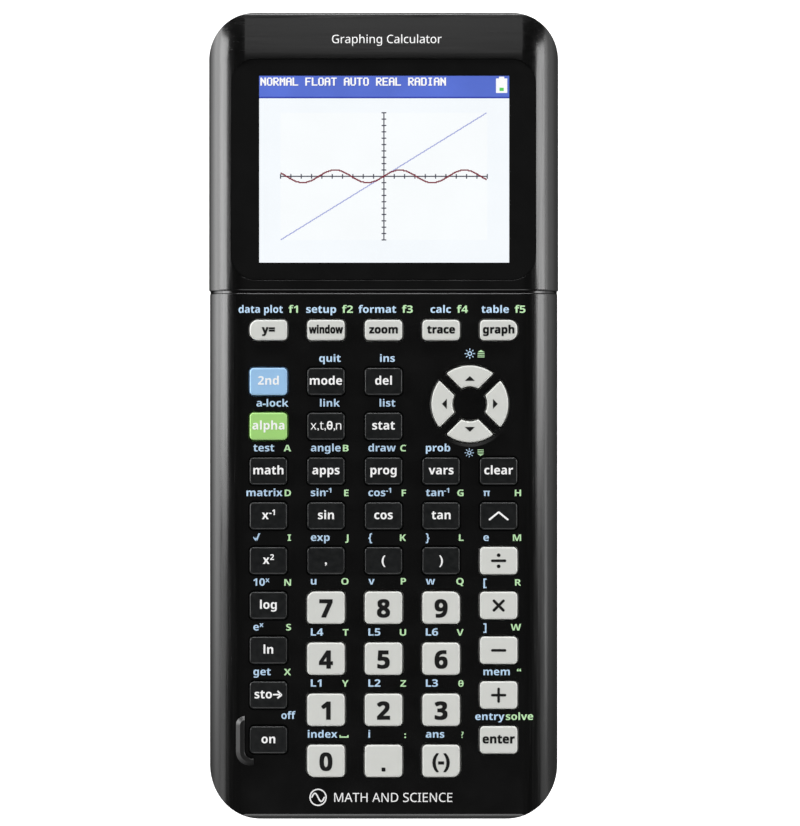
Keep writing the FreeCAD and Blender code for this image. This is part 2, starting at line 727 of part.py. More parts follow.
def led(low):
    """Charging light on the board's edge, with its tip in the case wall."""
    z = low - 1.2
    across, along = LED_SIZE
    front = LENGTH / 2 - 3.6
    body = box(LED_X - across / 2, LED_X + across / 2, front - along, front, z - 1.1, low - 0.01)
    pipe = Part.makeCylinder(LED_R, 3.2, V(LED_X, front - 0.1, z), V(0, 1, 0))
    return body.fuse(pipe).removeSplitter()


def led_hole():
    z = BOARD_TOP_Z - BOARD_THICK - 1.2
    return Part.makeCylinder(LED_R + 0.1, 12, V(LED_X, LENGTH / 2 - 7, z), V(0, 1, 0))


def dome(x, y, scale):
    """Dome that a key's stem presses."""
    height = STEM_Z - DOME_PLAY - SHEET_TOP_Z
    return Part.makeCone(DOME_R * scale, DOME_TIP_R * scale, height, V(x, y, SHEET_TOP_Z))


def dome_cavity(x, y, scale):
    """Hollow inside a dome, less the contact pill that hangs in it."""
    height = STEM_Z - DOME_PLAY - BOARD_TOP_Z - 2 * DOME_WALL
    foot, tip = DOME_R * scale - DOME_WALL, DOME_TIP_R * scale - 0.4
    cavity = Part.makeCone(foot, tip, height, V(x, y, BOARD_TOP_Z))
    pill = cylinder(x, y, BOARD_TOP_Z + KEY_TRAVEL + 0.1, BOARD_TOP_Z + height + 0.2, tip * 0.8)
    return cavity.cut(pill)


def key_membrane(keys):
    top = MENU_ROW_Y + MENU_HEIGHT / 2 + 2.4
    bottom = number_row_y(3) - NUMBER_HEIGHT / 2 - 2.4
    size = (SHEET_WIDTH, top - bottom)
    sheet = rounded_block(*size, 2.0, BOARD_TOP_Z, SHEET_TOP_Z, (0, (top + bottom) / 2))
    spots = [(*key.dome_centre(), key.dome_scale) for key in keys]
    sheet = sheet.fuse([dome(*spot) for spot in spots]).removeSplitter()
    sheet = sheet.cut([dome_cavity(*spot) for spot in spots])
    return sheet.cut(boss_clearance(0, FACE_Z))


# ---------------------------------------------------------------- rear pieces
def bay_centre():
    return 0.0, BAY_Y


def contact_centre():
    return 0.0, BAY_Y + BATTERY[1] / 2 - 5.0


def cover_box(grow, z0, z1):
    """The battery cover's outline, which runs past the battery to take the screw."""
    width = BATTERY[0] + 2 * (BAY_PLAY + COVER_LIP)
    top = BAY_Y + BATTERY[1] / 2 + BAY_PLAY + COVER_LIP
    bottom = BAY_Y - BATTERY[1] / 2 - BAY_PLAY - COVER_TAB
    size = (width + 2 * grow, top - bottom + 2 * grow)
    return rounded_block(*size, 3.0 + grow, z0, z1, (0, (top + bottom) / 2))


def cover_screw_at():
    return 0.0, BAY_Y - BATTERY[1] / 2 - BAY_PLAY - COVER_TAB / 2 - 0.8


def rear_case():
    shell = rear_form().cut(rear_form(WALL))
    pads = [cylinder(x, y, 0, BACK_Z + 0.2, PAD_R) for x, y in PADS_AT]
    pads = [pad.makeFillet(0.2, top_edges(pad, 0)) for pad in pads]
    form = rear_form()
    posts = [cylinder(x, y, BACK_Z, PARTING_Z, BOSS_R + 0.4).common(form) for x, y in SCREWS_AT]
    rim = cover_box(BAY_WALL, FLOOR_Z - 1.0, FLOOR_Z + 1.2)
    opening = [s + 2 * BAY_PLAY for s in BATTERY[:2]]
    outer = [s + 2 * BAY_WALL for s in opening]
    bay = rounded_block(*outer, 2.0, FLOOR_Z - 1.0, BAY_TOP_Z - 0.2, bay_centre())
    sx, sy = cover_screw_at()
    screw_post = cylinder(sx, sy, FLOOR_Z - 1.0, BAY_TOP_Z - 0.8, BOSS_R + 0.5)
    standoffs = [
        cylinder(side * STANDOFF_X, y, FLOOR_Z - 0.5, BOARD_TOP_Z - BOARD_THICK, STANDOFF_R)
        for side in (-1, 1)
        for y in REAR_STANDOFF_YS
    ]
    shell = shell.fuse(pads + posts + standoffs + [rim, bay, screw_post]).removeSplitter()
    holes = [rounded_block(*opening, 1.0, -1, BAY_TOP_Z + 1, bay_centre())]
    holes.append(cover_box(COVER_PLAY, -1, BACK_Z + COVER_THICK + 0.1))
    holes.append(cylinder(sx, sy, 0, BAY_TOP_Z - 1.4, SCREW_R + 0.05))
    holes.append(cylinder(*RESET_AT, -1, FLOOR_Z + 1, RESET_HOLE_R))
    for x, y in SCREWS_AT:
        holes.append(cylinder(x, y, -1, BACK_Z + HEAD_SINK + SCREW_HEAD, SCREW_HEAD_R + 0.25))
        holes.append(cylinder(x, y, -1, PARTING_Z + 1, SCREW_R + 0.15))
    holes += [usb_opening(), led_hole()] + cover_grooves()
    return shell.cut(holes)


def cover_grooves():
    """Long grooves in the flanks that a slide-on cover runs in."""
    depth, height = RAIL_GROOVE
    edge = WIDTH / 2 - REAR_INSET
    z0, z1 = RAIL_GROOVE_Z - height / 2, RAIL_GROOVE_Z + height / 2
    ends = (-LENGTH / 2 + BOTTOM_CORNER_R + 2, SEAM_Y)
    return [
        box(edge - depth, edge + 2, *ends, z0, z1),
        box(-edge - 2, -edge + depth, *ends, z0, z1),
    ]


def battery_cover():
    """Flush plate with finger ribs and its captive screw."""
    plate = cover_box(0, BACK_Z, BACK_Z + COVER_THICK)
    sx, sy = cover_screw_at()
    head_z = BACK_Z - 0.1 + HEAD_SINK
    plate = plate.cut(cylinder(sx, sy, -1, head_z + 0.7, SCREW_HEAD_R + 0.2))
    plate = plate.cut(cylinder(sx, sy, -1, 5, SCREW_R + 0.1))
    top = BAY_Y + BATTERY[1] / 2
    lines = [top - 3.6 - 1.6 * i for i in range(4)]
    plate = plate.cut([box(-9, 9, y, y + 0.6, BACK_Z - 1, BACK_Z + 0.35) for y in lines])
    head = cylinder(sx, sy, head_z, head_z + 0.68, SCREW_HEAD_R)
    shank = cylinder(sx, sy, head_z + 0.6, BAY_TOP_Z - 2.0, SCREW_R)
    slot = box(sx - 1.3, sx + 1.3, sy - 0.3, sy + 0.3, head_z - 1, head_z + 0.4)
    cross = box(sx - 0.3, sx + 0.3, sy - 1.3, sy + 1.3, head_z - 1, head_z + 0.4)
    return Part.Compound([plate, head.fuse(shank).removeSplitter().cut([slot, cross])])


def battery_pack():
    """Flat cell in its sleeve, with three contact plates let into the top."""
    width, height, thick = BATTERY
    cell = rounded_block(width, height, 1.2, BATTERY_TOP_Z - thick, BATTERY_TOP_Z, bay_centre())
    level_edges = [e for e in cell.Edges if abs(e.Vertexes[0].Z - e.Vertexes[-1].Z) < 1e-6]
    cell = cell.makeFillet(0.5, level_edges)
    x, y = contact_centre()
    deep = 0.3
    spots = [(x + i * 4.0, y) for i in (-1, 0, 1)]
    wells = [rounded_block(3.0, 3.6, 0.4, BATTERY_TOP_Z - deep, 20, spot) for spot in spots]
    plates = [
        rounded_block(2.96, 3.56, 0.38, BATTERY_TOP_Z - deep, BATTERY_TOP_Z, spot)
        for spot in spots
    ]
    return Part.Compound([cell.cut(wells)] + plates)


def main():
    os.makedirs("parts", exist_ok=True)
    keys = all_keys()
    for key in keys:
        save(key.solid(), key.name)
    save(display_housing(), "display_housing")
    save(keypad_housing(keys), "keypad_housing")
    save(display_window(), "display_window")
    save(lcd_module(), "lcd_module")
    save(main_board(), "main_board")
    save(key_membrane(keys), "key_membrane")
    save(rear_case(), "rear_case")
    save(battery_cover(), "battery_cover")
    save(battery_pack(), "battery_pack")
    save(case_screws(), "case_screws")


main()
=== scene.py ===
"""Looks of the graphing calculator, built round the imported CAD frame. Metres throughout."""

import json
import math
import re

import bmesh
import bpy
from mathutils import Matrix, Vector
from mathutils.bvhtree import BVHTree


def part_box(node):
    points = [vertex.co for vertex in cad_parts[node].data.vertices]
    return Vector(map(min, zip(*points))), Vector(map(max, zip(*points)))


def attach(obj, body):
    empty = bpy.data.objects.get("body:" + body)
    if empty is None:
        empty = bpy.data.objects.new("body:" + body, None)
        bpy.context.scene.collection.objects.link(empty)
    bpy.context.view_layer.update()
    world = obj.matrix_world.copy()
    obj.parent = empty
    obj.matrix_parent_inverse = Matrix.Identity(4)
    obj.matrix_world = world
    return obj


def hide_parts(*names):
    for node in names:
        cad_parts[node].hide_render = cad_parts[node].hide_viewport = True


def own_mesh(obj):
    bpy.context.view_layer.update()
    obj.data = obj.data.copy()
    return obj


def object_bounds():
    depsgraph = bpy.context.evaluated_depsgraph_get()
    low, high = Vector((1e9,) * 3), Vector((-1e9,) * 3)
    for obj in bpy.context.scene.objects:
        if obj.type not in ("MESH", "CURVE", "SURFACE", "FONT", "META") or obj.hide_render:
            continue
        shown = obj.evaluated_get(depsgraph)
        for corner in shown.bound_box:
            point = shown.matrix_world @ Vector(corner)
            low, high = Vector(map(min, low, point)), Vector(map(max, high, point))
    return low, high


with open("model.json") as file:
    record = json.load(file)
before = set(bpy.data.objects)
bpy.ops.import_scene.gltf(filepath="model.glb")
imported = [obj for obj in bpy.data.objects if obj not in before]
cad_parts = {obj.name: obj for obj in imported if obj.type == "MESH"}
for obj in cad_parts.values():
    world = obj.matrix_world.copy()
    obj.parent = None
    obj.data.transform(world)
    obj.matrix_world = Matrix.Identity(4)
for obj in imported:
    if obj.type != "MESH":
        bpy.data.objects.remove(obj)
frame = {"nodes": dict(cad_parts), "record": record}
cad_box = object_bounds()
MM = 0.001
SMOOTH_ANGLE = math.radians(32)

# ------------------------------------------------------------------ what is printed where
WHITE_ROWS = ["y_equals window zoom trace graph", "divide multiply minus plus enter"]
WHITE_KEYS = set(" ".join(WHITE_ROWS).split()) | set("0123456789")
WHITE_KEYS |= {"point", "negative", "up", "right", "down", "left"}

# a caret raises what follows it
WORDS = {
    "y_equals": "y=", "window": "window", "zoom": "zoom", "trace": "trace", "graph": "graph",
    "second": "2nd", "mode": "mode", "delete": "del",
    "alpha": "alpha", "variable": "x,t,θ,n", "stat": "stat",
    "math": "math", "apps": "apps", "program": "prog", "vars": "vars", "clear": "clear",
    "reciprocal": "x^-1", "sine": "sin", "cosine": "cos", "tangent": "tan",
    "square": "x^2", "comma": ",", "open_bracket": "(", "close_bracket": ")",
    "log": "log", "ln": "ln", "store": "sto→", "on": "on", "enter": "enter",
}
# second and third functions printed above a key: (second, third)
ABOVE = {
    "y_equals": ("data plot", "f1"), "window": ("setup", "f2"), "zoom": ("format", "f3"),
    "trace": ("calc", "f4"), "graph": ("table", "f5"),
    "mode": ("quit", ""), "delete": ("ins", ""),
    "alpha": ("a-lock", ""), "variable": ("link", ""), "stat": ("list", ""),
    "math": ("test", "A"), "apps": ("angle", "B"), "program": ("draw", "C"), "vars": ("prob", ""),
    "reciprocal": ("matrix", "D"), "sine": ("sin^-1", "E"), "cosine": ("cos^-1", "F"),
    "tangent": ("tan^-1", "G"), "power": ("π", "H"),
    "square": ("√", "I"), "comma": ("exp", "J"), "open_bracket": ("{", "K"),
    "close_bracket": ("}", "L"), "divide": ("e", "M"),
    "log": ("10^x", "N"), "7": ("u", "O"), "8": ("v", "P"), "9": ("w", "Q"), "multiply": ("[", "R"),
    "ln": ("e^x", "S"), "4": ("L4", "T"), "5": ("L5", "U"), "6": ("L6", "V"), "minus": ("]", "W"),
    "store": ("get", "X"), "1": ("L1", "Y"), "2": ("L2", "Z"), "3": ("L3", "θ"),
    "plus": ("mem", "“"),
    "0": ("index", "_"), "point": ("i", ":"), "negative": ("ans", "?"), "enter": ("entry", "solve"),
}
DIGITS = "0123456789"
NEGATIVE = "(-)"
OFF = "off"
TITLE = "Graphing Calculator"
FOOTER = "MATH AND SCIENCE"
STATUS = "NORMAL FLOAT AUTO REAL RADIAN"
# screen letters, five dots wide and seven high
DOTS = {
    "A": "01110 10001 10001 11111 10001 10001 10001",
    "D": "11110 10001 10001 10001 10001 10001 11110",
    "E": "11111 10000 10000 11110 10000 10000 11111",
    "F": "11111 10000 10000 11110 10000 10000 10000",
    "I": "01110 00100 00100 00100 00100 00100 01110",
    "L": "10000 10000 10000 10000 10000 10000 11111",
    "M": "10001 11011 10101 10101 10001 10001 10001",
    "N": "10001 11001 11101 10111 10011 10001 10001",
    "O": "01110 10001 10001 10001 10001 10001 01110",
    "R": "11110 10001 10001 11110 10100 10010 10001",
    "T": "11111 00100 00100 00100 00100 00100 00100",
    "U": "10001 10001 10001 10001 10001 10001 01110",
}


# ------------------------------------------------------------------ node graph helpers
class Graph:
    """Short hand for building one material's nodes."""

    def __init__(self, name):
        self.material = bpy.data.materials.new(name)
        self.material.use_nodes = True
        self.tree = self.material.node_tree
        self.tree.nodes.clear()

    def node(self, kind, inputs=None, **settings):
        node = self.tree.nodes.new(kind)
        for key, value in settings.items():
            setattr(node, key, value)
        for key, value in (inputs or {}).items():
            if isinstance(value, bpy.types.NodeSocket):
                self.tree.links.new(value, node.inputs[key])
            else:
                node.inputs[key].default_value = value
        return node

    def place(self, scale=(1, 1, 1)):
        """Object-space position, scaled."""
        where = self.node("ShaderNodeTexCoord").outputs["Object"]
        return self.node("ShaderNodeMapping", {"Vector": where, "Scale": scale}).outputs[0]

    def noise(self, size_mm, stretch=(1, 1, 1), detail=4, rough=0.5):
        scale = tuple(1 / (size_mm * MM * s) for s in stretch)
        settings = {"Vector": self.place(scale), "Scale": 1.0, "Detail": detail}
        settings["Roughness"] = rough
        return self.node("ShaderNodeTexNoise", settings).outputs["Fac"]

    def calc(self, operation, a, b=0.0):
        return self.node("ShaderNodeMath", {0: a, 1: b}, operation=operation).outputs[0]

    def split(self):
        """Sockets of the object-space X, Y and Z."""
        return self.node("ShaderNodeSeparateXYZ", {"Vector": self.place()}).outputs

    def ramp(self, value, low, high, to_low=0.0, to_high=1.0):
        settings = {"Value": value, "From Min": low, "From Max": high}
        settings.update({"To Min": to_low, "To Max": to_high})
        return self.node("ShaderNodeMapRange", settings).outputs[0]

    def mix(self, factor, a, b):
        settings = {"Factor": factor, "A": a, "B": b}
        node = self.node("ShaderNodeMix", data_type="RGBA")
        for key, value in settings.items():
            socket = [s for s in node.inputs if s.name == key and s.enabled][0]
            if isinstance(value, bpy.types.NodeSocket):
                self.tree.links.new(value, socket)
            else:
                socket.default_value = value
        return [s for s in node.outputs if s.enabled][0]

    def bump(self, height, strength, distance_mm, normal=None):
        settings = {"Height": height, "Strength": strength, "Distance": distance_mm * MM}
        if normal is not None:
            settings["Normal"] = normal
        return self.node("ShaderNodeBump", settings).outputs[0]

    def principled(self, **inputs):
        names = {key.replace("_", " "): value for key, value in inputs.items()}
        return self.node("ShaderNodeBsdfPrincipled", names).outputs[0]

    def finish(self, shader):
        out = self.node("ShaderNodeOutputMaterial")
        self.tree.links.new(shader, out.inputs["Surface"])
        return self.material


def grey(level):
    return (level, level, level, 1.0)


# ------------------------------------------------------------------ materials
def plastic(name, colour, roughness, grain_mm, grain, fleck=0.08, coat=0.0):
    """Moulded plastic: slight colour mottling, uneven roughness and a fine grain."""
    g = Graph(name)
    darker = tuple(c * (1 - fleck) for c in colour[:3]) + (1.0,)
    lighter = tuple(min(1.0, c * (1 + fleck)) for c in colour[:3]) + (1.0,)
    tone = g.mix(g.ramp(g.noise(3.0), 0.3, 0.7), darker, lighter)
    rough = g.ramp(g.noise(1.2, detail=6), 0.3, 0.7, roughness * 0.85, roughness * 1.2)
    normal = g.bump(g.noise(grain_mm, detail=3), grain, 0.02)
    shader = g.principled(
        Base_Color=tone, Roughness=rough, Normal=normal, Coat_Weight=coat, Coat_Roughness=0.08
    )
    return g.finish(shader)


def housing_black():
    """Gloss black moulding; its rounded rails and brow are satin, with fine drawn streaks."""
    g = Graph("housing_gloss_black")
    along = g.noise(0.35, stretch=(1, 60, 1), detail=5, rough=0.6)
    across = g.noise(0.35, stretch=(60, 1, 1), detail=5, rough=0.6)
    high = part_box("display_housing")[1]
    x, y, z = g.split()
    on_brow = g.ramp(y, high.y - 14 * MM, high.y - 9 * MM)
    on_rail = g.ramp(g.calc("ABSOLUTE", x), high.x - 9.5 * MM, high.x - 7 * MM)
    satin = g.calc("MAXIMUM", on_brow, on_rail)
    streak = g.node("ShaderNodeMix", {"Factor": on_brow, "A": along, "B": across}).outputs[0]
    gloss = g.ramp(g.noise(5.0), 0.3, 0.7, 0.14, 0.2)
    drawn = g.ramp(streak, 0.3, 0.7, SATIN * 0.7, SATIN * 1.4)
    body = g.node("ShaderNodeMix", {"Factor": satin, "A": gloss, "B": drawn}).outputs[0]
    ridge_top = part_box("keypad_housing")[1].z
    on_ridge = g.ramp(z, ridge_top - 1.0 * MM, ridge_top - 0.9 * MM)
    rough = g.node("ShaderNodeMix", {"Factor": on_ridge, "A": body, "B": 0.34}).outputs[0]
    face_tone = g.mix(g.ramp(g.noise(9.0), 0.35, 0.65), grey(0.0048), grey(0.0062))
    tone = g.mix(satin, face_tone, grey(0.0024))
    fine = g.bump(g.noise(0.25, detail=2), 0.1, 0.01)
    normal = g.bump(streak, g.ramp(satin, 0, 1, 0.01, 0.1), 0.02, fine)
    shader = g.principled(Base_Color=tone, Roughness=rough, Normal=normal, Specular_IOR_Level=0.6)
    return g.finish(shader)


def clear_window():
    """Clear sheet with a black border printed behind it."""
    g = Graph("window_clear_with_black_border")
    low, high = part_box("display_window")
    middle = (low + high) / 2
    x, y, _ = g.split()

    def outside(place, centre, half):
        off = g.calc("ABSOLUTE", g.calc("SUBTRACT", place, centre))
        return g.ramp(off, half, half + 0.02 * MM)

    side = outside(x, middle.x + VIEW_SHIFT, VIEW_WIDTH / 2)
    end = outside(y, middle.y + VIEW_RISE, VIEW_HEIGHT / 2)
    border = g.calc("MAXIMUM", side, end)
    rough = g.ramp(g.noise(2.0), 0.3, 0.7, 0.03, 0.06)
    gloss = g.node("ShaderNodeBsdfGlossy", {"Color": grey(0.9), "Roughness": rough}).outputs[0]
    clear = g.node("ShaderNodeBsdfTransparent", {"Color": grey(0.985)}).outputs[0]
    shine = g.node("ShaderNodeFresnel", {"IOR": 1.45}).outputs[0]
    sheet = g.node("ShaderNodeMixShader", {"Fac": shine, 1: clear, 2: gloss}).outputs[0]
    tone = g.mix(g.ramp(g.noise(6.0), 0.35, 0.65), grey(0.0068), grey(0.0082))
    printed = g.principled(Base_Color=tone, Roughness=rough)
    both = g.node("ShaderNodeMixShader", {"Fac": border, 1: sheet, 2: printed}).outputs[0]
    return g.finish(both)


def ink(name, colour, roughness=0.45, shine=0.5):
    """Screen-printed ink, a little uneven in tone, with a faint painted glow of its own colour."""
    g = Graph(name)
    thin = tuple(c * 0.92 for c in colour[:3]) + (1.0,)
    tone = g.mix(g.ramp(g.noise(0.5), 0.3, 0.7), thin, colour)
    rough = g.ramp(g.noise(0.3), 0.3, 0.7, roughness * 0.8, roughness * 1.2)
    normal = g.bump(g.noise(0.12), 0.15, 0.01)
    shader = g.principled(
        Base_Color=tone,
        Roughness=rough,
        Normal=normal,
        Specular_IOR_Level=shine,
        # painted glow: the ink emits its own colour, though it is no lamp
        Emission_Color=tone,
        Emission_Strength=INK_GLOW,
    )
    return g.finish(shader)


def lit(name, colour, strength=1.0, spread=0.02):
    """Lit part of the screen picture, with the panel's slight unevenness."""
    g = Graph(name)
    dimmer = tuple(c * (1 - spread) for c in colour[:3]) + (1.0,)
    tone = g.mix(g.ramp(g.noise(14.0), 0.35, 0.65), dimmer, colour)
    cell = g.node("ShaderNodeTexChecker", {"Vector": g.place(), "Scale": 1 / (0.18 * MM)})
    bright = g.ramp(cell.outputs["Fac"], 0, 1, strength * 0.99, strength)
    shader = g.principled(
        Base_Color=grey(0.0), Roughness=0.4, Emission_Color=tone, Emission_Strength=bright
    )
    return g.finish(shader)


def board_green():
    """Solder mask with tracks showing through; the port's shell is bright steel."""
    g = Graph("board_green")
    port = next(mount for mount in frame["record"]["mounts"] if mount["name"] == "usb_port")
    port_x, port_y, _ = port["pos_m"]
    x, y, _ = g.split()
    beside = g.calc("ABSOLUTE", g.calc("SUBTRACT", x, port_x))
    near = g.calc("LESS_THAN", beside, PORT_HALF)
    steel = g.calc("MULTIPLY", near, g.calc("GREATER_THAN", y, port_y - PORT_LENGTH))
    tracks = g.node(
        "ShaderNodeTexBrick",
        {"Vector": g.place((1 / (4 * MM),) * 3), "Scale": 1.0, "Mortar Size": 0.03},
    ).outputs["Fac"]
    mask = g.mix(tracks, (0.01, 0.09, 0.04, 1), (0.02, 0.17, 0.07, 1))
    tone = g.mix(steel, mask, grey(0.55))
    normal = g.bump(g.calc("MULTIPLY", tracks, g.calc("SUBTRACT", 1.0, steel)), 0.3, 0.03)
    rough = g.ramp(g.noise(0.8), 0.3, 0.7, 0.28, 0.42)
    shader = g.principled(Base_Color=tone, Metallic=steel, Roughness=rough, Normal=normal)
    return g.finish(shader)


def metal(name, colour, roughness):
    g = Graph(name)
    scratches = g.noise(0.3, stretch=(1, 12, 1), detail=6)
    rough = g.ramp(scratches, 0.3, 0.7, roughness * 0.7, roughness * 1.3)
    normal = g.bump(scratches, 0.15, 0.01)
    return g.finish(
        g.principled(Base_Color=colour, Metallic=1.0, Roughness=rough, Normal=normal)
    )


def foil():
    """Crinkled foil pouch."""
    g = Graph("battery_foil")
    crinkle = g.noise(4.0, detail=6, rough=0.65)
    rough = g.ramp(crinkle, 0.3, 0.7, 0.22, 0.42)
    normal = g.bump(crinkle, 0.4, 0.2)
    tone = g.mix(g.ramp(crinkle, 0.3, 0.7), grey(0.45), grey(0.62))
    return g.finish(g.principled(Base_Color=tone, Metallic=0.9, Roughness=rough, Normal=normal))


def floor_white():
    """Pale sweep, overexposed to the camera; to other rays it is dark grey with a painted glow for
    reflections, brighter on the left, and reflections see its glow fade into a painted contact shadow
    towards the object.

    From below it is clear, so that the object's back can be seen.
    """
    g = Graph("floor_white")
    low, high = (Vector(corner) for corner in cad_box)
    x, y, _ = g.split()
    past_x = g.calc("SUBTRACT", g.calc("ABSOLUTE", x), high.x)
    past_y = g.calc("SUBTRACT", g.calc("ABSOLUTE", y), high.y)
    # painted contact shadow: the glow that other rays see is nil near the object
    far = g.ramp(g.calc("MAXIMUM", past_x, past_y), FLOOR_PAINTED_SHADOW, FLOOR_BRIGHT)
    along = g.ramp(y, low.y, 20 * MM, 0.2, 1.0)
    # painted reflection: the floor glows more on the left than on the right, and in a strip in front
    sides = g.ramp(x, low.x, high.x, FLOOR_GLOW_LEFT, FLOOR_GLOW_RIGHT)
    beside = g.calc("MULTIPLY", g.calc("MULTIPLY", sides, along), g.ramp(past_x, 0, 5 * MM))
    front = g.ramp(y, low.y - 5 * MM, low.y, FLOOR_GLOW_FRONT, 0)
    glow = g.calc("MULTIPLY", far, g.calc("MAXIMUM", beside, front))
    seen = g.node("ShaderNodeLightPath").outputs["Is Camera Ray"]
    strength = g.node("ShaderNodeMix", {"Factor": seen, "A": glow, "B": 1.0}).outputs[0]
    pale = g.mix(g.ramp(g.noise(60.0), 0.3, 0.7), grey(0.80), grey(0.84))
    # painted shade: rays other than the camera's see the floor dark grey
    tone = g.mix(seen, grey(0.1), pale)
    normal = g.bump(g.noise(3.0), 0.05, 0.1)
    shader = g.principled(
        Base_Color=tone,
        Roughness=0.7,
        Normal=normal,
        Emission_Color=grey(1.0),
        Emission_Strength=strength,
    )
    under = g.node("ShaderNodeNewGeometry").outputs["Backfacing"]
    clear = g.node("ShaderNodeBsdfTransparent").outputs[0]
    return g.finish(g.node("ShaderNodeMixShader", {"Fac": under, 1: shader, 2: clear}).outputs[0])


# ------------------------------------------------------------------ geometry helpers
def new_piece(name, mesh, material, body):
    piece = bpy.data.objects.new(name, mesh)
    bpy.context.scene.collection.objects.link(piece)
    mesh.materials.clear()
    mesh.materials.append(material)
    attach(piece, body)
    return piece


def mesh_of(builder, name):
    """Cleaned mesh from a bmesh."""
    bmesh.ops.remove_doubles(builder, verts=builder.verts, dist=1e-7)
    bmesh.ops.recalc_face_normals(builder, faces=builder.faces)
    mesh = bpy.data.meshes.new(name)
    builder.to_mesh(mesh)
    builder.free()
    return mesh


def add_slab(builder, x0, x1, y0, y1, z0, z1):
    """A box with its corners cut at 45 degrees in plan."""
    cut = min(x1 - x0, y1 - y0) * 0.12
    plan = [
        (x0 + cut, y0), (x1 - cut, y0), (x1, y0 + cut), (x1, y1 - cut),
        (x1 - cut, y1), (x0 + cut, y1), (x0, y1 - cut), (x0, y0 + cut),
    ]
    add_prism(builder, plan, z0, z1)


def add_prism(builder, plan, z0, z1):
    low = [builder.verts.new((x, y, z0)) for x, y in plan]
    high = [builder.verts.new((x, y, z1)) for x, y in plan]
    builder.faces.new(low[::-1])
    builder.faces.new(high)
    for i in range(len(plan)):
        j = (i + 1) % len(plan)
        builder.faces.new((low[i], low[j], high[j], high[i]))


def circle(x, y, r, steps=24, turn=0.0):
    return [
        (x + r * math.cos(turn + math.tau * i / steps), y + r * math.sin(turn + math.tau * i / steps))
        for i in range(steps)
    ]


def add_ring(builder, x, y, r_out, r_in, z0, z1, steps=24):
    rings = []
    for r, z in ((r_out, z0), (r_out, z1), (r_in, z1), (r_in, z0)):
        rings.append([builder.verts.new((px, py, z)) for px, py in circle(x, y, r, steps)])
    for a, b in zip(rings, rings[1:] + rings[:1]):
        for i in range(steps):
            j = (i + 1) % steps
            builder.faces.new((a[i], a[j], b[j], b[i]))


def sans(words, heavy):
    """The same words in the sans-serif alphabets that Blender's fonts carry for mathematics."""
    alphabets = (("A", "Z", 0x1D5D4), ("a", "z", 0x1D5EE), ("0", "9", 0x1D7EC))
    if not heavy:
        alphabets = (("A", "Z", 0x1D5A0), ("a", "z", 0x1D5BA), ("0", "9", 0x1D7E2))
    letters = []
    for letter in words:
        for first, last, start in alphabets:
            if first <= letter <= last:
                letter = chr(start + ord(letter) - ord(first))
        letters.append({"θ": chr(0x1D777), "π": chr(0x1D77F)}.get(letter, letter))
    return "".join(letters)


def runs_of(words, heavy):
    """A phrase as runs of one kind: (letters, outward offset, whether they are raised)."""
    runs = []
    for place, part in enumerate(words.split("^")):
        for run in SIGNS.split(part):
            if run:
                weight = SIGN_WEIGHT if heavy and SIGNS.match(run) else 0.0
                runs.append((sans(run, heavy), weight, place > 0))
    return runs


def text_mesh(lines, weight):
    """Solid letters of size 1 on z = 0, a line of text for each entry."""
    curve = bpy.data.curves.new("letters", "FONT")
    curve.body = "\n".join(lines)
    curve.size = 1.0
    curve.space_line = LINE_PITCH
    curve.offset = weight
    curve.extrude = INK_THICK / 2
    curve.resolution_u = 3
    holder = bpy.data.objects.new("letters", curve)
    mesh = bpy.data.meshes.new_from_object(holder)
    bpy.data.objects.remove(holder)
    bpy.data.curves.remove(curve)
    return mesh


def letter_bank(bold_phrases, plain_phrases):
    """Corners and faces of every run of letters in some phrases, keyed by letters and offset."""
    wanted = {}
    for phrases, heavy in ((bold_phrases, True), (plain_phrases, False)):
        for words in phrases:
            for letters, weight, _ in runs_of(words, heavy):
                wanted.setdefault(weight, {})[letters] = None
    bank = {}
    for weight, runs in wanted.items():
        lines = list(runs)
        mesh = text_mesh(lines, weight)
        faces = [[] for _ in lines]
        for polygon in mesh.polygons:
            low = min(mesh.vertices[i].co.y for i in polygon.vertices)
            faces[round(-low / LINE_PITCH - 0.1)].append(list(polygon.vertices))
        for line, letters in enumerate(lines):
            used = sorted({i for face in faces[line] for i in face})
            order = {old: new for new, old in enumerate(used)}
            corners = [mesh.vertices[i].co + Vector((0, line * LINE_PITCH, 0)) for i in used]
            left = min(corner.x for corner in corners)
            corners = [(corner.x - left, corner.y, corner.z) for corner in corners]
            bank[letters, weight] = corners, [[order[i] for i in face] for face in faces[line]]
        bpy.data.meshes.remove(mesh)
    return bank


def lettering(words, size, heavy=True, room=None, stretch=1.0):
    """Bmesh of text from the origin and its width, squeezed if it is wider than its room."""
    builder = bmesh.new()
    reach = 0.0
    for letters, weight, raised in runs_of(words, heavy):
        corners, faces = LETTERS[letters, weight]
        scale = size * (RAISED_SCALE if raised else 1.0)
        rise = RAISED_BY * size if raised else 0.0
        start = reach + LETTER_GAP * scale if reach else 0.0
        placed = [builder.verts.new((start + x * scale, rise + y * scale, z)) for x, y, z in corners]
        for face in faces:
            builder.faces.new([placed[i] for i in face])
        reach = max(v.co.x for v in placed)
    bmesh.ops.remove_doubles(builder, verts=builder.verts, dist=1e-7)
    if room:
        stretch = min(stretch, room / reach)
    bmesh.ops.scale(builder, verts=builder.verts, vec=(stretch, 1, 1))
    return builder, reach * stretch


def merge(target, source, x, y, z):
    """Adds a bmesh to another, moved."""
    mesh = bpy.data.meshes.new("part")
    bmesh.ops.translate(source, verts=source.verts, vec=(x, y, z))
    source.to_mesh(mesh)
    source.free()
    target.from_mesh(mesh)
    bpy.data.meshes.remove(mesh)


def put_text(target, words, size, x, y, z, align=0.5, **style):
    """Adds text; align 0 puts its left end at x, 1 its right end. Returns its left end."""
    letters, width = lettering(words, size, **style)
    left = x - align * width
    merge(target, letters, left, y, z)
    return left


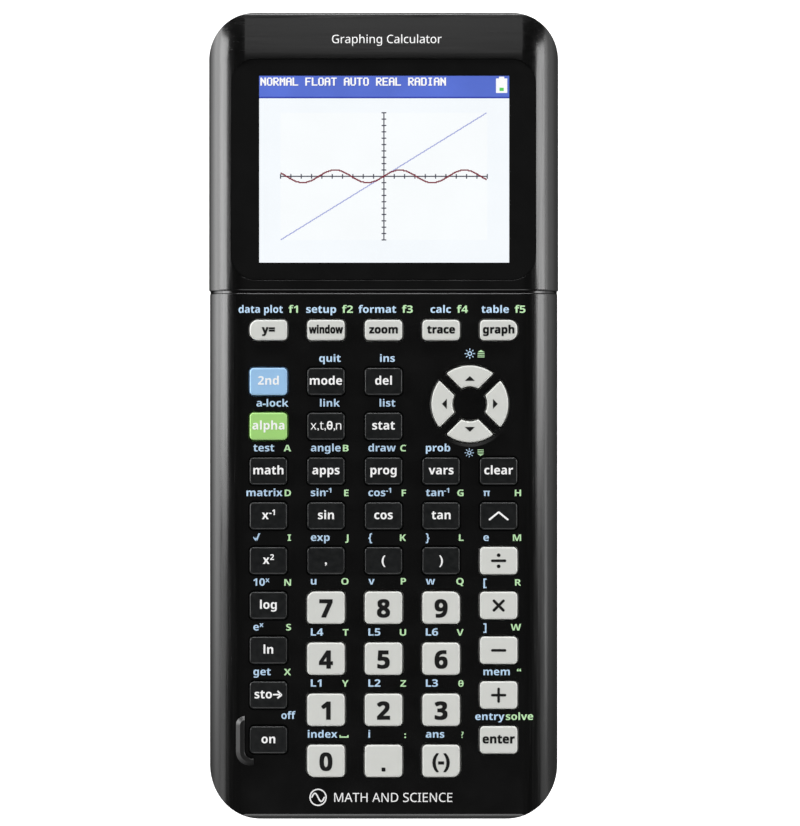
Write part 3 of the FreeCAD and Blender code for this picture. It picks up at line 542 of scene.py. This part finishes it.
# ------------------------------------------------------------------ sizes of the printed matter
INK_THICK = 0.05 * MM
INK_LIFT = 0.01 * MM  # the ink's middle lies this far above the surface
# painted glow: how strongly every ink shines its own colour
INK_GLOW = 0.2
FLANGE = 0.9 * MM  # a key's box includes its hidden flange

SIGNS = re.compile(r"([-=,():{}\[\]→√“]+)")  # signs that have no bold form
SIGN_WEIGHT = 0.024  # outward offset that thickens them, for size 1
LINE_PITCH = 3.0  # between the lines of the letter bank
LETTER_GAP = 0.07
RAISED_SCALE = 0.66
RAISED_BY = 0.34

WORD_SIZE = 2.75 * MM
WORD_DROP = 0.74 * MM  # baseline under the key's centre
WORD_ROOM = 7.75 * MM
MENU_WORD_SIZE = 2.5 * MM
DIGIT_SIZE = 5.6 * MM
DIGIT_DROP = 2.15 * MM
DIGIT_THICKER = 0.2 * MM  # black figures' strokes gain this much
WORD_THICKER = 0.11 * MM
ABOVE_SIZE = 2.35 * MM
ABOVE_LIFT = 1.4 * MM  # baseline over the key's top edge
MENU_LIFT = 0.25 * MM  # how much higher it is over a menu key
NUMBER_LIFT = 0.2 * MM
ABOVE_STRETCH = 1.08
CAPITAL_STRETCH = 1.18  # for letters and digits on their own
LETTER_SIZE = 2.1 * MM
SIGN_LONG = 3.5 * MM
SIGN_THICK = 0.6 * MM
OVERLAP = 0.002 * MM  # keeps crossing strokes from sharing a face
PAIR_GAP = 1.35 * MM  # between the two words over a key
PAIR_END = {"y_equals": 6.8 * MM, "zoom": 6.75 * MM, "enter": 8.0 * MM}
LONG_ROOM = 10.2 * MM  # the widest phrase over a key

VIEW_WIDTH = 57.8 * MM
VIEW_HEIGHT = 43.24 * MM
VIEW_SHIFT = 0.15 * MM
VIEW_RISE = 0.12 * MM
SATIN = 0.2  # roughness of the rails and brow
PORT_HALF = 3.95 * MM  # the port's shell reaches this far from its middle
PORT_LENGTH = 9.3 * MM


MENU_HALF = 2.6 * MM  # menu keys have half heights under this
NUMBER_HALF = 3.4 * MM  # and number keys over this


class Spot:
    """Where a key's cap is: its centre, edges and top."""

    def __init__(self, name):
        low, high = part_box("key_" + name)
        self.x = (low.x + high.x) / 2
        self.y = (low.y + high.y) / 2
        self.left = low.x + FLANGE
        self.right = high.x - FLANGE
        self.edge = high.y - FLANGE
        self.half = self.edge - self.y
        self.z = high.z + INK_LIFT

    @property
    def is_menu(self):
        return self.half < MENU_HALF

    @property
    def is_number(self):
        return self.half > NUMBER_HALF


# ------------------------------------------------------------------ key legends
def bar(target, x, y, z, long, thick, turn=0.0):
    """A straight stroke with rounded ends, centred at (x, y)."""
    reach = (long - thick) / 2
    plan = []
    for i in range(13):
        a = -math.pi / 2 + math.pi * i / 12
        plan.append((reach + thick / 2 * math.cos(a), thick / 2 * math.sin(a)))
    plan += [(-px, -py) for px, py in plan]
    c, s = math.cos(turn), math.sin(turn)
    turned = [(x + px * c - py * s, y + px * s + py * c) for px, py in plan]
    add_prism(target, turned, z - INK_THICK / 2, z + INK_THICK / 2)


def put_bold(target, words, size, x, y, z, thicker, **style):
    """Adds text four times over, shifted to the corners of a square, which thickens its strokes."""
    for i, (side, up) in enumerate(((-1, -1), (1, -1), (-1, 1), (1, 1))):
        place = (x + side * thicker / 2, y + up * thicker / 2, z + i * OVERLAP)
        put_text(target, words, size, *place, **style)


def draw_operator(target, name, spot):
    x, y, z = spot.x, spot.y, spot.z
    low, high = z - INK_THICK / 2, z + INK_THICK / 2
    if name in ("plus", "minus", "divide"):
        bar(target, x, y, z, SIGN_LONG, SIGN_THICK)
    if name == "plus":
        bar(target, x, y, z + OVERLAP, SIGN_LONG, SIGN_THICK, math.pi / 2)
    if name == "divide":
        for side in (-1, 1):
            add_prism(target, circle(x, y + side * 1.28 * MM, 0.42 * MM), low, high)
    if name == "multiply":
        for turn, lift in ((math.pi / 4, 0), (-math.pi / 4, OVERLAP)):
            bar(target, x, y, z + lift, SIGN_LONG * 1.06, SIGN_THICK * 1.05, turn)
    if name == "point":
        half = 0.45 * MM
        foot = y - 2.4 * MM
        add_slab(target, x - half, x + half, foot, foot + 2 * half, low, high)
    if name == "power":
        for side in (-1, 1):
            lift = OVERLAP if side > 0 else 0
            bar(target, x + side * 1.08 * MM, y, z + lift, 3.0 * MM, 0.42 * MM, -side * 0.68)


def draw_arrow(target, name, spot):
    """Small solid triangle on the wedge, pointing outwards."""
    turn = {"up": 0, "left": 90, "down": 180, "right": 270}[name]
    out = Matrix.Rotation(math.radians(turn), 2)
    corners = ((0, 0.25), (-1.15, -0.85), (1.15, -0.85))
    points = [out @ (Vector(corner) * MM) for corner in corners]
    plan = [(spot.x + point.x, spot.y + point.y) for point in points]
    add_prism(target, plan, spot.z - INK_THICK / 2, spot.z + INK_THICK / 2)


def legend(name, materials):
    spot = Spot(name)
    target = bmesh.new()
    if name in ("up", "down", "left", "right"):
        draw_arrow(target, name, spot)
    elif name in DIGITS:
        put_bold(target, name, DIGIT_SIZE, spot.x, spot.y - DIGIT_DROP, spot.z, DIGIT_THICKER)
    elif name == "negative":
        put_bold(target, NEGATIVE, 4.4 * MM, spot.x, spot.y - 1.4 * MM, spot.z, WORD_THICKER)
    elif name in WORDS:
        size = MENU_WORD_SIZE if spot.is_menu else WORD_SIZE
        style = {"room": WORD_ROOM, "heavy": name != "variable"}
        place = (spot.x, spot.y - WORD_DROP, spot.z)
        if name in WHITE_KEYS:
            put_bold(target, WORDS[name], size, *place, WORD_THICKER, **style)
        else:
            put_text(target, WORDS[name], size, *place, **style)
    else:
        draw_operator(target, name, spot)
    material = materials["ink_black" if name in WHITE_KEYS else "ink_white"]
    return new_piece("legend_" + name, mesh_of(target, "legend_" + name), material, "key_" + name)


# ------------------------------------------------------------------ legends on the face
def surface_under(nodes):
    """Ray-cast tree of some CAD nodes' fronts."""
    builder = bmesh.new()
    for node in nodes:
        builder.from_mesh(frame["nodes"][node].data)
    tree = BVHTree.FromBMesh(builder)
    builder.free()
    return tree


def settle(target, tree, step):
    """Cuts a bmesh into strips and lays it on the surface, keeping its thickness."""
    ys = [v.co.y for v in target.verts]
    xs = [v.co.x for v in target.verts]
    for values, normal in ((ys, (0, 1, 0)), (xs, (1, 0, 0))):
        count = int((max(values) - min(values)) / step)
        for i in range(1, count + 1):
            at = Vector(normal) * (min(values) + i * step)
            everything = target.verts[:] + target.edges[:] + target.faces[:]
            bmesh.ops.bisect_plane(target, geom=everything, plane_co=at, plane_no=normal)
    for v in target.verts:
        hit = tree.ray_cast(Vector((v.co.x, v.co.y, 1.0)), Vector((0, 0, -1)))[0]
        v.co.z += hit.z + INK_LIFT


def upper_words():
    """Bmeshes of the second and third functions, in plan on z = 0."""
    second = bmesh.new()
    third = bmesh.new()
    for name, (word, letter) in ABOVE.items():
        spot = Spot(name)
        y = spot.edge + ABOVE_LIFT + spot.is_menu * MENU_LIFT + spot.is_number * NUMBER_LIFT
        beside = len(letter) > 1
        gap = PAIR_GAP if beside else 0.5 * MM
        size = ABOVE_SIZE if beside else LETTER_SIZE
        start = spot.x + PAIR_END.get(name, 6.2 * MM) if beside else spot.right + 0.9 * MM
        if letter == "_":
            start = draw_space(third, start, y)
        elif letter:
            wide = ABOVE_STRETCH if name == "enter" else CAPITAL_STRETCH
            start = put_text(third, letter, size, start, y, 0, align=1, stretch=wide)
        wide = CAPITAL_STRETCH if word[1:].isdigit() else ABOVE_STRETCH
        letters, width = lettering(word, ABOVE_SIZE, stretch=wide, room=LONG_ROOM)
        if beside:
            left = start - (0.3 * MM if name == "enter" else gap) - width
        elif letter or name == "vars":
            left = min(spot.left + 0.8 * MM, start - gap - width)
        else:
            left = spot.x + 0.9 * MM - width / 2
        merge(second, letters, left, y, 0)
    return second, third


def draw_space(target, end, y):
    """The open box that stands for a space; returns its left end."""
    wide, tall, thick = 2.1 * MM, 0.6 * MM, 0.3 * MM
    z0, z1 = -INK_THICK / 2, INK_THICK / 2
    plan = [
        (end - wide, y), (end, y), (end, y + tall), (end - thick, y + tall),
        (end - thick, y + thick), (end - wide + thick, y + thick),
        (end - wide + thick, y + tall), (end - wide, y + tall),
    ]
    add_prism(target, plan, z0, z1)
    return end - wide


def draw_brightness(second, third, x, y, size, up):
    """A little sun, and beside it a stack of bars with an arrowhead."""
    z0, z1 = -INK_THICK / 2, INK_THICK / 2
    add_ring(second, x, y, 0.54 * size, 0.32 * size, z0, z1)
    for i in range(8):
        a = math.tau * i / 8
        reach = 0.98 * size
        bar(second, x + reach * math.cos(a), y + reach * math.sin(a), 0, 0.46 * size, 0.19 * size, a)
    x += 2.6 * MM
    size *= 0.88
    sign = 1 if up else -1
    for i in range(3):
        middle = y - sign * (0.88 - 0.47 * i) * size
        half = 0.1 * size
        add_slab(third, x - 0.9 * size, x + 0.9 * size, middle - half, middle + half, z0, z1)
    base, tip = y + sign * 0.38 * size, y + sign * 0.98 * size
    add_prism(third, [(x - 0.9 * size, base), (x + 0.9 * size, base), (x, tip)], z0, z1)


def draw_emblem(target, x, y):
    """Plain ring with one wave of a sine inside it."""
    z0, z1 = -INK_THICK / 2, INK_THICK / 2
    radius = 2.0 * MM
    add_ring(target, x, y, radius, radius - 0.3 * MM, z0, z1, 48)
    steps = 24
    half = 0.17 * MM
    for i in range(steps):
        ends = []
        for u in (i / steps, (i + 1.15) / steps):
            ends.append((x + (2 * u - 1) * 1.45 * MM, y + math.sin(math.tau * u) * 0.95 * MM))
        (x0, y0), (x1, y1) = ends
        turn = math.atan2(y1 - y0, x1 - x0)
        middle = (x0 + x1) / 2, (y0 + y1) / 2
        bar(target, *middle, OVERLAP * (i % 2), math.hypot(x1 - x0, y1 - y0) + half, 2 * half, turn)


def face_legends(materials):
    tree = surface_under(["keypad_housing", "display_housing"])
    second, third = upper_words()
    on = Spot("on")
    put_text(second, OFF, ABOVE_SIZE, on.right + 0.3 * MM, on.edge + ABOVE_LIFT + MENU_LIFT, 0)
    up, down = Spot("up"), Spot("down")
    draw_brightness(second, third, up.x, up.edge + 3.06 * MM, 1.0 * MM, True)
    draw_brightness(second, third, up.x - 0.1 * MM, down.y - 5.1 * MM, 0.88 * MM, False)
    plain = bmesh.new()
    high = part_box("display_housing")[1]
    put_text(plain, TITLE, 2.7 * MM, 0.75 * MM, high.y - 7.2 * MM, 0, heavy=False)
    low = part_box("keypad_housing")[0]
    put_text(plain, FOOTER, 2.9 * MM, 2.25 * MM, low.y + 4.0 * MM, 0, heavy=False)
    draw_emblem(plain, -15.1 * MM, low.y + 5.05 * MM)
    for name, target, ink_name in (
        ("print_second_functions", second, "ink_blue"),
        ("print_third_functions", third, "ink_green"),
        ("print_titles", plain, "ink_white"),
    ):
        settle(target, tree, 1.0 * MM)
        new_piece(name, mesh_of(target, name), materials[ink_name], "body")


# ------------------------------------------------------------------ screen picture
PIXEL = VIEW_WIDTH / 320
UNIT_X = 2.39 * MM
UNIT_Y = 1.47 * MM
BAR_HEIGHT = 5.2 * MM
LAYER = 0.02 * MM
LETTER_PITCH = 1.486 * MM
DOT_WIDE = 0.235 * MM
DOT_HIGH = 0.265 * MM
DOT_BOLD = 1.7  # how far each dot runs on to the right, in dots


def screen_picture(materials):
    low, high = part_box("lcd_module")
    win_low, win_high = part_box("display_window")
    cx = (win_low.x + win_high.x) / 2 + VIEW_SHIFT
    cy = (win_low.y + win_high.y) / 2 + VIEW_RISE
    left, right = cx - VIEW_WIDTH / 2, cx + VIEW_WIDTH / 2
    foot, top = cy - VIEW_HEIGHT / 2, cy + VIEW_HEIGHT / 2
    base = high.z - 0.1 * MM + 0.02 * MM

    def layer(name, level, material, draw):
        builder = bmesh.new()
        z = base + level * LAYER
        draw(builder, z, z + LAYER * 0.8)
        return new_piece(name, mesh_of(builder, name), materials[material], "body")

    def rectangle(x0, x1, y0, y1):
        return lambda b, z0, z1: add_slab_plain(b, x0, x1, y0, y1, z0, z1)

    layer("screen_background", 0, "lit_white", rectangle(left, right, foot, top))
    axis_x, axis_y = cx - 0.07 * MM, cy - 1.62 * MM
    span_x, span_y = 10 * UNIT_X, 10 * UNIT_Y
    layer("screen_graph_area", 1, "lit_bright",
          rectangle(axis_x - span_x, axis_x + span_x, axis_y - span_y, axis_y + span_y))
    layer("screen_status_bar", 1, "lit_blue", rectangle(left, right, top - BAR_HEIGHT, top))
    layer("screen_status_line", 2, "lit_deep_blue",
          rectangle(left, right, top - BAR_HEIGHT, top - BAR_HEIGHT + 2 * PIXEL))

    def axes(b, z0, z1):
        half = PIXEL * 0.75
        add_slab_plain(b, axis_x - span_x, axis_x + span_x, axis_y - half, axis_y + half, z0, z1)
        add_slab_plain(b, axis_x - half, axis_x + half, axis_y - span_y, axis_y + span_y, z0, z1)
        tick = 0.55 * MM
        for i in range(-10, 11):
            if i:
                tx, ty = axis_x + i * UNIT_X, axis_y + i * UNIT_Y
                add_slab_plain(b, tx - half, tx + half, axis_y - tick, axis_y + tick, z0, z1)
                add_slab_plain(b, axis_x - tick, axis_x + tick, ty - half, ty + half, z0, z1)

    def plot(function, thick):
        """Pixel columns of a curve, each joined to the next."""

        def draw(b, z0, z1):
            columns = int(2 * span_x / PIXEL)
            for i in range(columns):
                u = -10 + 20 * i / columns
                v = function(u)
                if abs(v) <= 10:
                    py = round(v * UNIT_Y / PIXEL) * PIXEL
                    nxt = round(function(u + 20 / columns) * UNIT_Y / PIXEL) * PIXEL
                    y0 = min(py, nxt) if abs(nxt - py) > PIXEL * 0.5 else py
                    y1 = max(py, nxt)
                    x = axis_x - span_x + i * PIXEL
                    half = thick * PIXEL / 2
                    add_slab_plain(b, x, x + PIXEL * 1.02, axis_y + y0 - half, axis_y + y1 + half, z0, z1)

        return draw

    layer("screen_axes", 2, "lit_ink", axes)
    layer("screen_line", 3, "lit_lavender", plot(lambda u: u, 0.9))
    layer("screen_sine", 4, "lit_red", plot(math.sin, 1.7))

    def status(shift, b, z0, z1):
        """Dot-matrix words; shift moves them down and right, for their shadow."""
        for place, letter in enumerate(STATUS):
            rows = DOTS.get(letter, "").split()
            for j, row in enumerate(rows):
                y1 = top - 0.4 * MM - j * DOT_HIGH - shift
                for i, dot in enumerate(row):
                    if dot == "1":
                        x0 = left + 0.25 * MM + place * LETTER_PITCH + i * DOT_WIDE + shift
                        x1 = x0 + DOT_WIDE * DOT_BOLD
                        add_slab_plain(b, x0, x1, y1 - DOT_HIGH * 1.04, y1, z0, z1)

    def battery(b, z0, z1):
        x1 = right - 0.45 * MM
        add_slab_plain(b, x1 - 2.6 * MM, x1, top - 3.95 * MM, top - 0.6 * MM, z0, z1)
        add_slab_plain(b, x1 - 1.9 * MM, x1 - 0.7 * MM, top - 0.62 * MM, top - 0.2 * MM, z0, z1)

    def charge(b, z0, z1):
        x1 = right - 0.45 * MM
        add_slab_plain(b, x1 - 1.8 * MM, x1 - 0.8 * MM, top - 3.5 * MM, top - 2.75 * MM, z0, z1)

    layer("screen_status_shadow", 3, "lit_deep_blue", lambda *slab: status(0.11 * MM, *slab))
    layer("screen_status_text", 4, "lit_text", lambda *slab: status(0, *slab))
    layer("screen_battery_icon", 2, "lit_text", battery)
    layer("screen_battery_charge", 3, "lit_green", charge)


def add_slab_plain(builder, x0, x1, y0, y1, z0, z1):
    add_prism(builder, [(x0, y0), (x1, y0), (x1, y1), (x0, y1)], z0, z1)


# ------------------------------------------------------------------ membrane domes
SHEET_THICK = 0.8 * MM
ARROW_DOME_R = 6.45 * MM  # from the arrow pad's centre
SMALL_DOME = 0.72


def membrane_sheet():
    """The CAD membrane's flat web with its dome openings closed, as a mesh."""
    builder = bmesh.new()
    builder.from_mesh(frame["nodes"]["key_membrane"].data)
    bmesh.ops.remove_doubles(builder, verts=builder.verts, dist=1e-7)
    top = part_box("key_membrane")[0].z + SHEET_THICK
    above = [v for v in builder.verts if v.co.z > top + 0.01 * MM]
    bmesh.ops.delete(builder, geom=above, context="VERTS")
    bmesh.ops.holes_fill(builder, edges=[e for e in builder.edges if e.is_boundary])
    return mesh_of(builder, "membrane_sheet")


def dome_mesh(x, y, scale, foot_z, top_z):
    """Closed rubber dome: a rounded cup with a thin wall, hollow underneath."""
    height = top_z - foot_z
    outer = [(3.0, 0.0), (2.85, 0.12), (1.95, 0.72), (1.62, 0.94), (1.4, 1.0)]
    inner = [(1.15, 0.66), (1.35, 0.6), (2.4, 0.0)]
    profile = [(r * scale * MM, foot_z + up * height) for r, up in outer + inner]
    steps = 24
    builder = bmesh.new()
    rings = [[builder.verts.new((px, py, z)) for px, py in circle(x, y, r, steps)] for r, z in profile]
    for a, b in zip(rings, rings[1:] + rings[:1]):
        if a is rings[4]:
            continue
        for i in range(steps):
            j = (i + 1) % steps
            builder.faces.new((a[i], a[j], b[j], b[i]))
    builder.faces.new(rings[4])
    builder.faces.new(rings[5][::-1])
    return mesh_of(builder, "dome")


def membrane(keys, materials):
    """Stands for the CAD membrane: one sheet, and a dome under each key."""
    low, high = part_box("key_membrane")
    foot = low.z + SHEET_THICK
    pad_x, pad_y = Spot("up").x, Spot("left").y
    towards = {"up": (0, 1), "down": (0, -1), "left": (-1, 0), "right": (1, 0)}
    pieces = [new_piece("membrane_sheet", membrane_sheet(), materials["silicone"], "body")]
    for name in keys:
        spot = Spot(name)
        x, y, scale = spot.x, spot.y, 1.0
        if name in towards:
            x = pad_x + towards[name][0] * ARROW_DOME_R
            y = pad_y + towards[name][1] * ARROW_DOME_R
        if name in towards or spot.is_menu:
            scale = SMALL_DOME
        mesh = dome_mesh(x, y, scale, foot, high.z)
        piece = new_piece("dome_" + name, mesh, materials["silicone"], "body")
        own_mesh(piece)
        pieces.append(piece)
    for piece in pieces:
        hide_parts("key_membrane")


# ------------------------------------------------------------------ CAD finishes
def finish_nodes(materials):
    slots = {
        "display_housing": "housing",
        "keypad_housing": "housing",
        "rear_case": "back",
        "battery_cover": "back",
        "display_window": "window",
        "lcd_module": "panel_metal",
        "main_board": "board",
        "case_screws": "screw",
        "battery_pack": "foil",
    }
    for name, node in frame["nodes"].items():
        key = name[4:] if name.startswith("key_") else None
        if name == "key_membrane":
            continue
        if key == "second":
            finish = "key_blue"
        elif key == "alpha":
            finish = "key_green"
        elif key:
            finish = "key_white" if key in WHITE_KEYS else "key_black"
        else:
            finish = slots[name]
        node.data.materials.clear()
        node.data.materials.append(materials[finish])


def make_materials():
    return {
        "housing": housing_black(),
        "back": plastic("back_textured_black", grey(0.012), 0.42, 0.35, 0.8),
        "window": clear_window(),
        "key_white": plastic("key_white", (0.79, 0.80, 0.76, 1), 0.38, 0.4, 0.12, 0.015),
        "key_black": plastic("key_black", (0.0058, 0.0066, 0.007, 1), 0.33, 0.4, 0.12, 0.08),
        "key_blue": plastic("key_blue", (0.39, 0.66, 0.98, 1), 0.38, 0.4, 0.12, 0.02),
        "key_green": plastic("key_green", (0.43, 0.80, 0.23, 1), 0.38, 0.4, 0.12, 0.02),
        "ink_white": ink("ink_white", (0.94, 0.94, 0.94, 1)),
        "ink_black": ink("ink_black", (0.009, 0.009, 0.009, 1), 0.6, 0.12),
        "ink_blue": ink("ink_blue", (0.55, 0.76, 0.98, 1)),
        "ink_green": ink("ink_green", (0.55, 0.86, 0.48, 1)),
        "silicone": plastic("silicone_grey", grey(0.3), 0.5, 0.6, 0.3),
        "board": board_green(),
        "panel_metal": metal("panel_steel", (0.5, 0.5, 0.52, 1), 0.3),
        "screw": metal("screw_black_steel", (0.12, 0.12, 0.125, 1), 0.35),
        "foil": foil(),
        "lit_white": lit("lit_white", (0.925, 0.965, 1.0, 1), 1.10),
        "lit_bright": lit("lit_bright", (0.955, 0.985, 1.0, 1), 1.10),
        "lit_blue": lit("lit_blue", (0.117, 0.196, 0.76, 1), 1.0, 0.12),
        "lit_deep_blue": lit("lit_deep_blue", (0.03, 0.06, 0.45, 1)),
        "lit_ink": lit("lit_ink", (0.06, 0.06, 0.09, 1)),
        "lit_lavender": lit("lit_lavender", (0.32, 0.36, 0.75, 1)),
        "lit_red": lit("lit_red", (0.22, 0.012, 0.03, 1)),
        "lit_text": lit("lit_text", (1, 1, 1, 1), 1.1),
        "lit_green": lit("lit_green", (0.12, 0.7, 0.12, 1)),
        "floor": floor_white(),
    }


# ------------------------------------------------------------------ stage
def panel(name, side, forward, up, size, radiance):
    """Soft light at a place in metres from the object's middle, facing it, of a set brightness."""
    data = bpy.data.lights.new(name, "AREA")
    data.shape = "RECTANGLE"
    data.size, data.size_y = size
    data.energy = radiance * math.pi * size[0] * size[1]
    light = bpy.data.objects.new(name, data)
    bpy.context.scene.collection.objects.link(light)
    light.location = (side, forward, up)
    light.rotation_euler = Vector((-side, -forward, -up)).to_track_quat("-Z", "Y").to_euler()
    return light


def stage(materials):
    builder = bmesh.new()
    bmesh.ops.create_grid(builder, x_segments=12, y_segments=12, size=3.0)
    floor = bpy.data.objects.new("floor", mesh_of(builder, "floor"))
    floor.data.materials.append(materials["floor"])
    bpy.context.scene.collection.objects.link(floor)
    floor.location.z = cad_box[0][2] - 0.1 * MM
    for name, side, forward, up, size, radiance in LIGHTS:
        panel(name, side, forward, up, size, radiance)
    world = bpy.data.worlds.new("studio")
    bpy.context.scene.world = world
    world.use_nodes = True
    nodes, links = world.node_tree.nodes, world.node_tree.links
    seen = nodes.new("ShaderNodeLightPath").outputs["Is Camera Ray"]
    glow = nodes.new("ShaderNodeMapRange")
    glow.inputs["To Min"].default_value = ROOM_GLOW
    links.new(seen, glow.inputs["Value"])
    links.new(glow.outputs[0], nodes["Background"].inputs["Strength"])
    nodes["Background"].inputs["Color"].default_value = grey(1.0)


ROOM_GLOW = 0.03
FLOOR_PAINTED_SHADOW = 4 * MM  # painted contact shadow: the floor's glow starts this far from the object
FLOOR_BRIGHT = 30 * MM
# painted reflection: the floor's glow to rays other than the camera's, on the left, the right and in
# front
FLOOR_GLOW_LEFT = 4.2
FLOOR_GLOW_RIGHT = 0.8
FLOOR_GLOW_FRONT = 0.7
# name, place (right, forward, up) in metres, size in metres, brightness
LIGHTS = [
    ("left", -0.58, 0.14, 0.15, (0.34, 0.28), 8.2),
    ("left_fill", -0.55, -0.24, 0.12, (0.4, 0.20), 1.4),
    ("right", 0.57, 0.12, 0.26, (0.27, 0.28), 7.0),
    ("right_low", 0.60, 0.10, 0.06, (0.40, 0.10), 3.0),
    ("right_fill", 0.55, -0.24, 0.14, (0.4, 0.24), 0.8),
    ("brow", 0.0, 0.46, 0.655, (0.22, 0.65), 0.85),
    ("behind", 0.0, 0.78, 0.20, (0.70, 0.14), 16.0),
    ("front", 0.0, -0.60, 0.45, (0.60, 0.50), 0.9),
    ("over_front", 0.0, -0.50, 0.68, (0.60, 0.36), 2.4),
    ("under_left", -0.45, 0.20, -0.50, (0.50, 0.40), 3.0),
    ("under_right", 0.50, -0.30, -0.35, (0.30, 0.40), 2.0),
]
VIEW_SPAN = 184.4 * MM  # width seen by the camera at the height of the face
VIEW_OFF = (3.8 * MM, 0.58 * MM)
CAMERA_HEIGHT = 1.1


def camera():
    data = bpy.data.cameras.new("camera")
    eye = bpy.data.objects.new("camera", data)
    bpy.context.scene.collection.objects.link(eye)
    low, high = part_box("keypad_housing")
    distance = CAMERA_HEIGHT - high.z
    data.sensor_fit = "HORIZONTAL"
    data.sensor_width = 36.0
    data.lens = 36.0 * distance / VIEW_SPAN
    eye.location = (VIEW_OFF[0], VIEW_OFF[1], CAMERA_HEIGHT)
    bpy.context.scene.camera = eye


def smooth_cad():
    """Shades the CAD nodes smooth except at real edges."""
    for node in frame["nodes"].values():
        node.data.shade_smooth()
        edges = node.modifiers.new("edges", "EDGE_SPLIT")
        edges.split_angle = SMOOTH_ANGLE


bold_phrases = [*WORDS.values(), *DIGITS, NEGATIVE, OFF]
for pair in ABOVE.values():
    bold_phrases += pair
LETTERS = letter_bank(bold_phrases, [WORDS["variable"], TITLE, FOOTER])
materials = make_materials()
finish_nodes(materials)
smooth_cad()
key_names = [n[4:] for n in sorted(frame["nodes"]) if n.startswith("key_") and n != "key_membrane"]
for key_name in key_names:
    legend(key_name, materials)
membrane(key_names, materials)
face_legends(materials)
screen_picture(materials)
stage(materials)
camera()
bpy.context.scene.view_settings.view_transform = "Standard"
